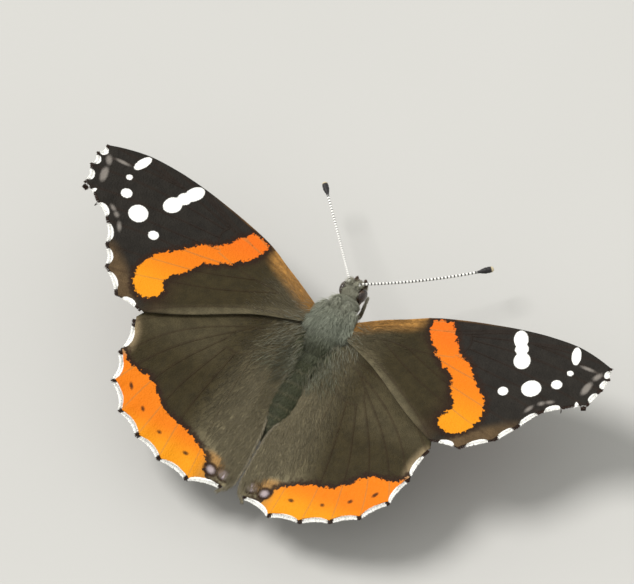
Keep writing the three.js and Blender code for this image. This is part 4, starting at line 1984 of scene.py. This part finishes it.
    def roots(self, skin: Mesh, count: int, weight: Array) -> tuple[Array, Array]:
        """Draw roots on the skin.

        Args:
            skin: The skin's mesh.
            count: How many to draw.
            weight: How thickly they stand at each corner of the skin.

        Returns:
            The roots, and the way out of the skin at each.
        """
        skin.calc_loop_triangles()
        faces = rows_of(skin.loop_triangles, "vertices", 3, np.int32)
        normals = rows_of(skin.vertices, "normal", 3).astype(float)
        places = places_of(skin)
        first, second, third = (places[faces[:, corner]] for corner in range(3))
        area = np.linalg.norm(np.cross(second - first, third - first), axis=1)
        chance = area * weight[faces].mean(axis=1)
        chosen = self.rng.choice(len(faces), count, p=chance / chance.sum())
        share = self.rng.random((count, 2))
        share[share.sum(axis=1) > 1] = 1 - share[share.sum(axis=1) > 1]
        mixing = np.column_stack((1 - share.sum(axis=1), share))[:, :, None]
        root = (places[faces[chosen]] * mixing).sum(axis=1)
        return root, unit((normals[faces[chosen]] * mixing).sum(axis=1))

    def lie(self, points: Array, outward: Array, rise: float, stray: float) -> Array:
        """Find the way that hair lies on the body.

        Args:
            points: The roots.
            outward: The way out of the skin.
            rise: How steeply the hair stands.
            stray: How much it strays.

        Returns:
            The way each tuft points.
        """
        x, y, _ = points.T
        sweep = np.tile(TAILWARD, (len(points), 1))
        sweep[:, 0] += np.sign(x) * 0.45 * smooth(0.2, 1.6, abs(x)) * smooth(-6.5, -3.0, y)
        sweep[:, 2] -= 0.35 * smooth(0.3, 1.6, abs(x))
        front = smooth(3.4, 4.1, y)[:, None]
        sweep = sweep * (1 - front) + np.array((0.0, 0.75, 0.35)) * front
        _, which, _ = self.leg_share(points)
        axis = unit(np.array([ends[1] - ends[0] for _, ends in self.bones()])[which])
        sweep = np.where(self.region(points)["leg"][:, None], axis, sweep)
        sweep = sweep + self.rng.normal(0, stray, sweep.shape)
        flat = sweep - outward * np.sum(sweep * outward, axis=1)[:, None]
        return unit(flat) + outward * rise

    def coat(self, skin: Mesh, weight: Array, kind: HairKind) -> Coat:
        """Grow one kind of hair over part of the body, kept above the floor.

        Args:
            skin: The skin's mesh.
            weight: How thickly it stands at each corner of the skin.
            kind: The kind of hair.

        Returns:
            The coat.
        """
        root, outward = self.roots(skin, kind.count, np.asarray(weight, float))
        size = self.rng.uniform(*kind.length, kind.count)
        sunk = root - outward * 0.03
        lie = unit(self.lie(root, outward, kind.rise, kind.stray))
        low = self.axes.place(sunk)[:, 2] / MM - self.clearance
        drop = low - self.axes.place(sunk + lie * size[:, None])[:, 2] / MM + self.clearance
        size = size * np.clip(low / np.maximum(drop, 1e-3), 0.15, 1.0)
        coat = Coat()
        coat.grow(sunk, lie, outward, size, kind.width, self.colour(root), self.unwrap(root), kind.arch)
        return coat

    def claws(self) -> list[Form]:
        """Make two small hooked claws at each toe and a pair of spurs at each ankle."""
        forms = []
        for name, ends in self.bones():
            end, ahead = ends[1], unit(ends[1] - ends[0])
            if "tarsus" in name:
                for apart in (-0.07, 0.07):
                    tip = end + ahead * np.array((1, 1, 0)) * 0.3 + np.array((apart, 0, 0))
                    middle = end + ahead * 0.12 + np.array((apart, 0, 0.05))
                    tip[2] = end[2] - 0.1
                    forms.append(bar((end - ahead * 0.05, middle, tip), (0.04, 0.035, 0.012), 10, 6))
            if "tibia" in name:
                for apart in (-0.1, 0.1):
                    tip = end + ahead * 0.3 + np.array((0, apart, 0.0))
                    forms.append(bar((end - ahead * 0.1, (end + tip) / 2, tip), (0.035, 0.03, 0.01), 8, 6))
        return forms

    def weights(self, places: Array) -> dict[str, Array]:
        """Work out how thickly each kind of hair stands, with none on the eyes.

        Args:
            places: The skin's corners.

        Returns:
            A weight for each corner, by the name of the hair.
        """
        region = self.region(places)
        bare = np.zeros(len(places), bool)
        for side in Side:
            offset = (places - self.mirrored(Eye.middle, side)) / np.array((0.6, 0.95, 1.0))
            bare |= np.linalg.norm(offset, axis=1) < 1.0
        up = smooth(-2.6, -0.6, places[:, 2])
        return {
            "thorax_hair": region["thorax"] * (0.4 + 0.6 * up),
            "head_hair": region["head"] & ~bare,
            "abdomen_hair": region["abdomen"],
            "palp_hair": region["palp"] | region["foreleg"],
            "leg_hair": region["leg"],
        }

    def build(self, model: Model, skin_finish: Material, hair: Material, horn: Material) -> None:
        """Build the skin and every coat on it.

        Args:
            model: The insect.
            skin_finish: The skin's finish.
            hair: The hair's finish.
            horn: The claws' finish.
        """
        skin = self.skin()
        places = places_of(skin)
        set_field(skin, "pigment", opaque(self.colour(places)))
        weights = self.weights(places)
        coats = {kind.name: self.coat(skin, weights[kind.name], kind) for kind in HAIR_KINDS}
        coats["leg_hair"].parts += self.coat(skin, weights["leg_hair"], BRISTLES).parts
        flesh = ["thorax", "abdomen", "head"]
        flesh += [f"{part}_{side.word}" for part in ("palp", "foreleg") for side in Side]
        flesh += [name for name, _ in self.bones() if "coxa" not in name]
        model.add("body_skin", skin, (skin_finish,), "body_hair", flesh)
        for name, coat in coats.items():
            slot = "leg_scales" if name == "leg_hair" else "body_hair"
            model.add(name, coat.mesh(self.rng), (hair,), slot)
        model.add("claws", to_mesh(*self.claws()), (horn,), "leg_scales")


@dataclass
class Eye:
    """One large faceted eye."""

    side: Side
    middle: Point = (1.12, 3.55, -0.7)
    size: Point = (0.48, 0.82, 0.86)
    turn: float = -8.0
    steps: int = 72

    def build(self, model: Model, finish: Material) -> None:
        """Build the eye, a little flattened against the head.

        Args:
            model: The insect.
            finish: Its finish.
        """
        middle = np.asarray(self.middle) * np.array((self.side.value, 1, 1))
        mesh = to_mesh(ball(middle, self.size, self.side.value * self.turn, self.steps))
        name = f"eye_{self.side.word}"
        model.add(f"{name}_facets", mesh, (finish,), "eye_brown", (name,))


@dataclass
class Feeler:
    """One feeler: a ringed shaft of short joints with a club at its end."""

    side: Side
    tip: Point
    root: Point = (0.7, 4.35, 0.4)
    socket: Point = (0.5, 3.92, -0.02)
    bow: float = -0.8
    shaft: float = 0.135
    collar: float = 0.07
    club: float = 0.34
    club_length: float = 1.9
    tip_length: float = 0.4

    def build(self, model: Model, finish: Material) -> None:
        """Build the feeler along its bowed line.

        Args:
            model: The insect.
            finish: Its finish.
        """
        share = np.linspace(0.0, 1.0, 300)[:, None]
        root, tip = np.asarray(self.root), np.asarray(self.tip)
        line = root + (tip - root) * share + UPWARD * self.bow * 4 * share * (1 - share)
        path = np.vstack((np.linspace(self.socket, root, 8, endpoint=False), line))
        run = distance_along(path)
        left = run[-1] - run
        phase = (run / FEELER_PITCH) % 1.0
        radii = self.shaft * (0.9 + 0.2 * np.sin(phase * math.pi)) + self.collar * smooth(0.8, 0.2, run)
        swell = smooth(self.club_length, self.club_length * 0.45, left)
        radii = radii + (self.club - self.shaft) * swell
        rounded = (1 - np.clip(left / self.tip_length, 0, 1)) ** 2
        radii *= np.sqrt(np.clip(1 - rounded, 0, 1)) * smooth(0.0, 0.03, run)
        path[:, 0] *= self.side.value
        mesh = to_mesh(tube(path, radii, 12))
        along = rows_of(mesh.attributes["along"].data, "value", 1)[:, 0]
        set_field(mesh, "left", run[-1] - along)
        name = f"antenna_{self.side.word}"
        model.add(f"{name}_shaft", mesh, (finish,), "feeler_scales", (name,))


@dataclass
class Tongue:
    """The coiled proboscis: two half tubes side by side, wound under the head."""

    middle: Point = (0.0, 4.0, -3.45)
    radius: float = 0.95
    pitch: float = 0.62
    turns: float = 1.45
    tube: float = 0.13
    apart: float = 0.09
    rounding: float = 0.02
    steps: int = 120

    def build(self, model: Model, finish: Material) -> None:
        """Build both halves along the coil.

        Args:
            model: The insect.
            finish: Their finish.
        """
        turned = np.linspace(0.0, self.turns, self.steps)
        radius = self.radius - self.pitch * turned
        angle = math.pi * (0.5 - 2 * turned)
        ahead = self.middle[1] + radius * np.cos(angle)
        coil = np.column_stack((np.zeros(self.steps), ahead, self.middle[2] + radius * np.sin(angle)))
        mouth = ((0, 3.75, -1.5), (0, 3.55, -2.0), (0, 3.68, -2.38), coil[0])
        path = np.vstack((spline(mouth, np.linspace(0, 0.97, 16)), coil))
        share = np.linspace(0, 1, len(path))
        end = np.sqrt(np.clip(1 - share, 0, self.rounding) / self.rounding)
        radii = self.tube * (1 - 0.5 * share) * end * smooth(0, 0.01, share)
        aside = np.column_stack((1 - 0.45 * share, np.zeros((len(path), 2)))) * self.apart
        halves = [tube(path + aside * side.value, radii, 12) for side in reversed(Side)]
        model.add("proboscis_coil", to_mesh(*halves), (finish,), "mouth_brown", ("proboscis",))


@dataclass
class Studio:
    """The floor, the soft light and the camera at the photograph's viewing angle.

    The scale is the photograph's pixels to the millimetre. The distances and the floor are in
    metres, and the aim is the picture's middle, right of and above the wing roots in millimetres.
    """

    axes: Axes
    turn: float = math.radians(-20.0)
    tilt: float = math.radians(26.0)
    roll: float = math.radians(24.02)
    scale: float = 9.2
    distance: float = 2.5
    aim: Pair = (-2.065, 2.609)
    sky: float = 0.75
    sky_colour: Point = (0.995, 0.99, 0.945, 1.0)
    sun: float = 2.6
    sun_width: float = math.radians(24.0)
    sun_colour: Point = (1.0, 0.975, 0.94)
    floor_size: float = 12.0

    def view_axes(self) -> tuple[Array, Array, Array]:
        """Find the picture's own axes in the part frame.

        Returns:
            The ways to the right, up and back toward the camera.
        """
        ahead = np.array((0.0, math.cos(self.tilt), math.sin(self.tilt)))
        over = np.array((0.0, -math.sin(self.tilt), math.cos(self.tilt)))
        across = np.array((math.cos(self.turn), 0.0, 0.0)) + math.sin(self.turn) * over
        right = math.cos(self.roll) * across + math.sin(self.roll) * ahead
        up = math.cos(self.roll) * ahead - math.sin(self.roll) * across
        to_part = np.array((-1.0, -1.0, 1.0))
        return right * to_part, up * to_part, np.cross(across, ahead) * to_part

    def camera(self) -> None:
        """Set the camera so that a millimetre takes as many pixels as in the photograph."""
        right, up, back = self.view_axes()
        roots = self.axes.place([[0.0, 0.0, 0.0]])[0]
        middle = roots + (right * self.aim[0] + up * self.aim[1]) * MM
        data = bpy.data.cameras.new("camera")
        data.sensor_width = 36.0
        data.lens = data.sensor_width * self.distance / (FRAME_WIDTH / self.scale * MM)
        data.clip_end = self.distance * 8
        camera = show("camera", data)
        turned = Matrix((right, up, back)).transposed().to_4x4()
        camera.matrix_world = Matrix.Translation(middle + back * self.distance) @ turned
        bpy.context.scene.camera = camera

    def light(self) -> None:
        """Hang one broad soft lamp to the upper left of the picture, in an even pale sky."""
        right, up, back = self.view_axes()
        lamp = bpy.data.lights.new("lamp", "SUN")
        lamp.energy = self.sun
        lamp.angle = self.sun_width
        lamp.color = self.sun_colour
        holder = show("lamp", lamp)
        toward = Vector(0.55 * back + 0.55 * up - 0.45 * right)
        holder.rotation_mode = "QUATERNION"
        holder.rotation_quaternion = toward.to_track_quat("Z", "Y")
        world = bpy.data.worlds.new("sky")
        world.use_nodes = True
        background = world.node_tree.nodes["Background"]
        background.inputs["Color"].default_value = self.sky_colour
        background.inputs["Strength"].default_value = self.sky
        bpy.context.scene.world = world
        bpy.context.scene.view_settings.view_transform = "Standard"

    def floor(self) -> None:
        """Lay the pale floor."""
        form = bmesh.new()
        bmesh.ops.create_grid(form, x_segments=4, y_segments=4, size=self.floor_size / 2)
        mesh = to_mesh(form)
        mesh.materials.append(FloorFinish().build())
        floor = show("floor", mesh)


def main() -> None:
    """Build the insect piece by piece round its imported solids."""
    logging.basicConfig(level=logging.INFO, format="%(name)s: %(message)s")
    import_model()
    low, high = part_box("eye_left")
    eye_ahead = Eye.middle[1] * math.cos(Axes.pitch) - Eye.middle[2] * math.sin(Axes.pitch)
    axes = Axes(shift=(low.y + high.y) / 2 / MM + eye_ahead)
    model = Model(axes)
    studio = Studio(axes)
    studio.camera()
    studio.light()
    studio.floor()
    hair = HairFinish("soft_hair").build()
    feeler = FeelerFinish().build()
    eye = EyeFinish().build()
    upper, under = WingFinish("forewing_upper", dusting=Pigment.SLATE), UndersideFinish("forewing_under")
    fore = (upper.build(), under.build())
    upper, under = WingFinish("hindwing_upper", jag=0.62), UndersideFinish("hindwing_under")
    hind = (upper.build(), under.build())
    for number, side in enumerate(Side):
        Forewing(side, seed=20 + number).build(model, *fore, hair)
        Hindwing(side, seed=30 + number).build(model, *hind, hair)
        Eye(side).build(model, eye)
    Feeler(Side.LEFT, tip=(11.1, 15.4, -4.8)).build(model, feeler)
    Feeler(Side.RIGHT, tip=(11.1, 14.2, -4.8)).build(model, feeler)
    Tongue().build(model, HornFinish("tongue_horn", Pigment.HORN).build())
    claw = HornFinish("claw_horn", Pigment.DARK_TAN, rings=0.5).build()
    Body(axes).build(model, SkinFinish("scaly_skin").build(), hair, claw)
    log.info("%d pieces, %d triangles", model.count, model.faces)


if __name__ == "__main__":
    main()
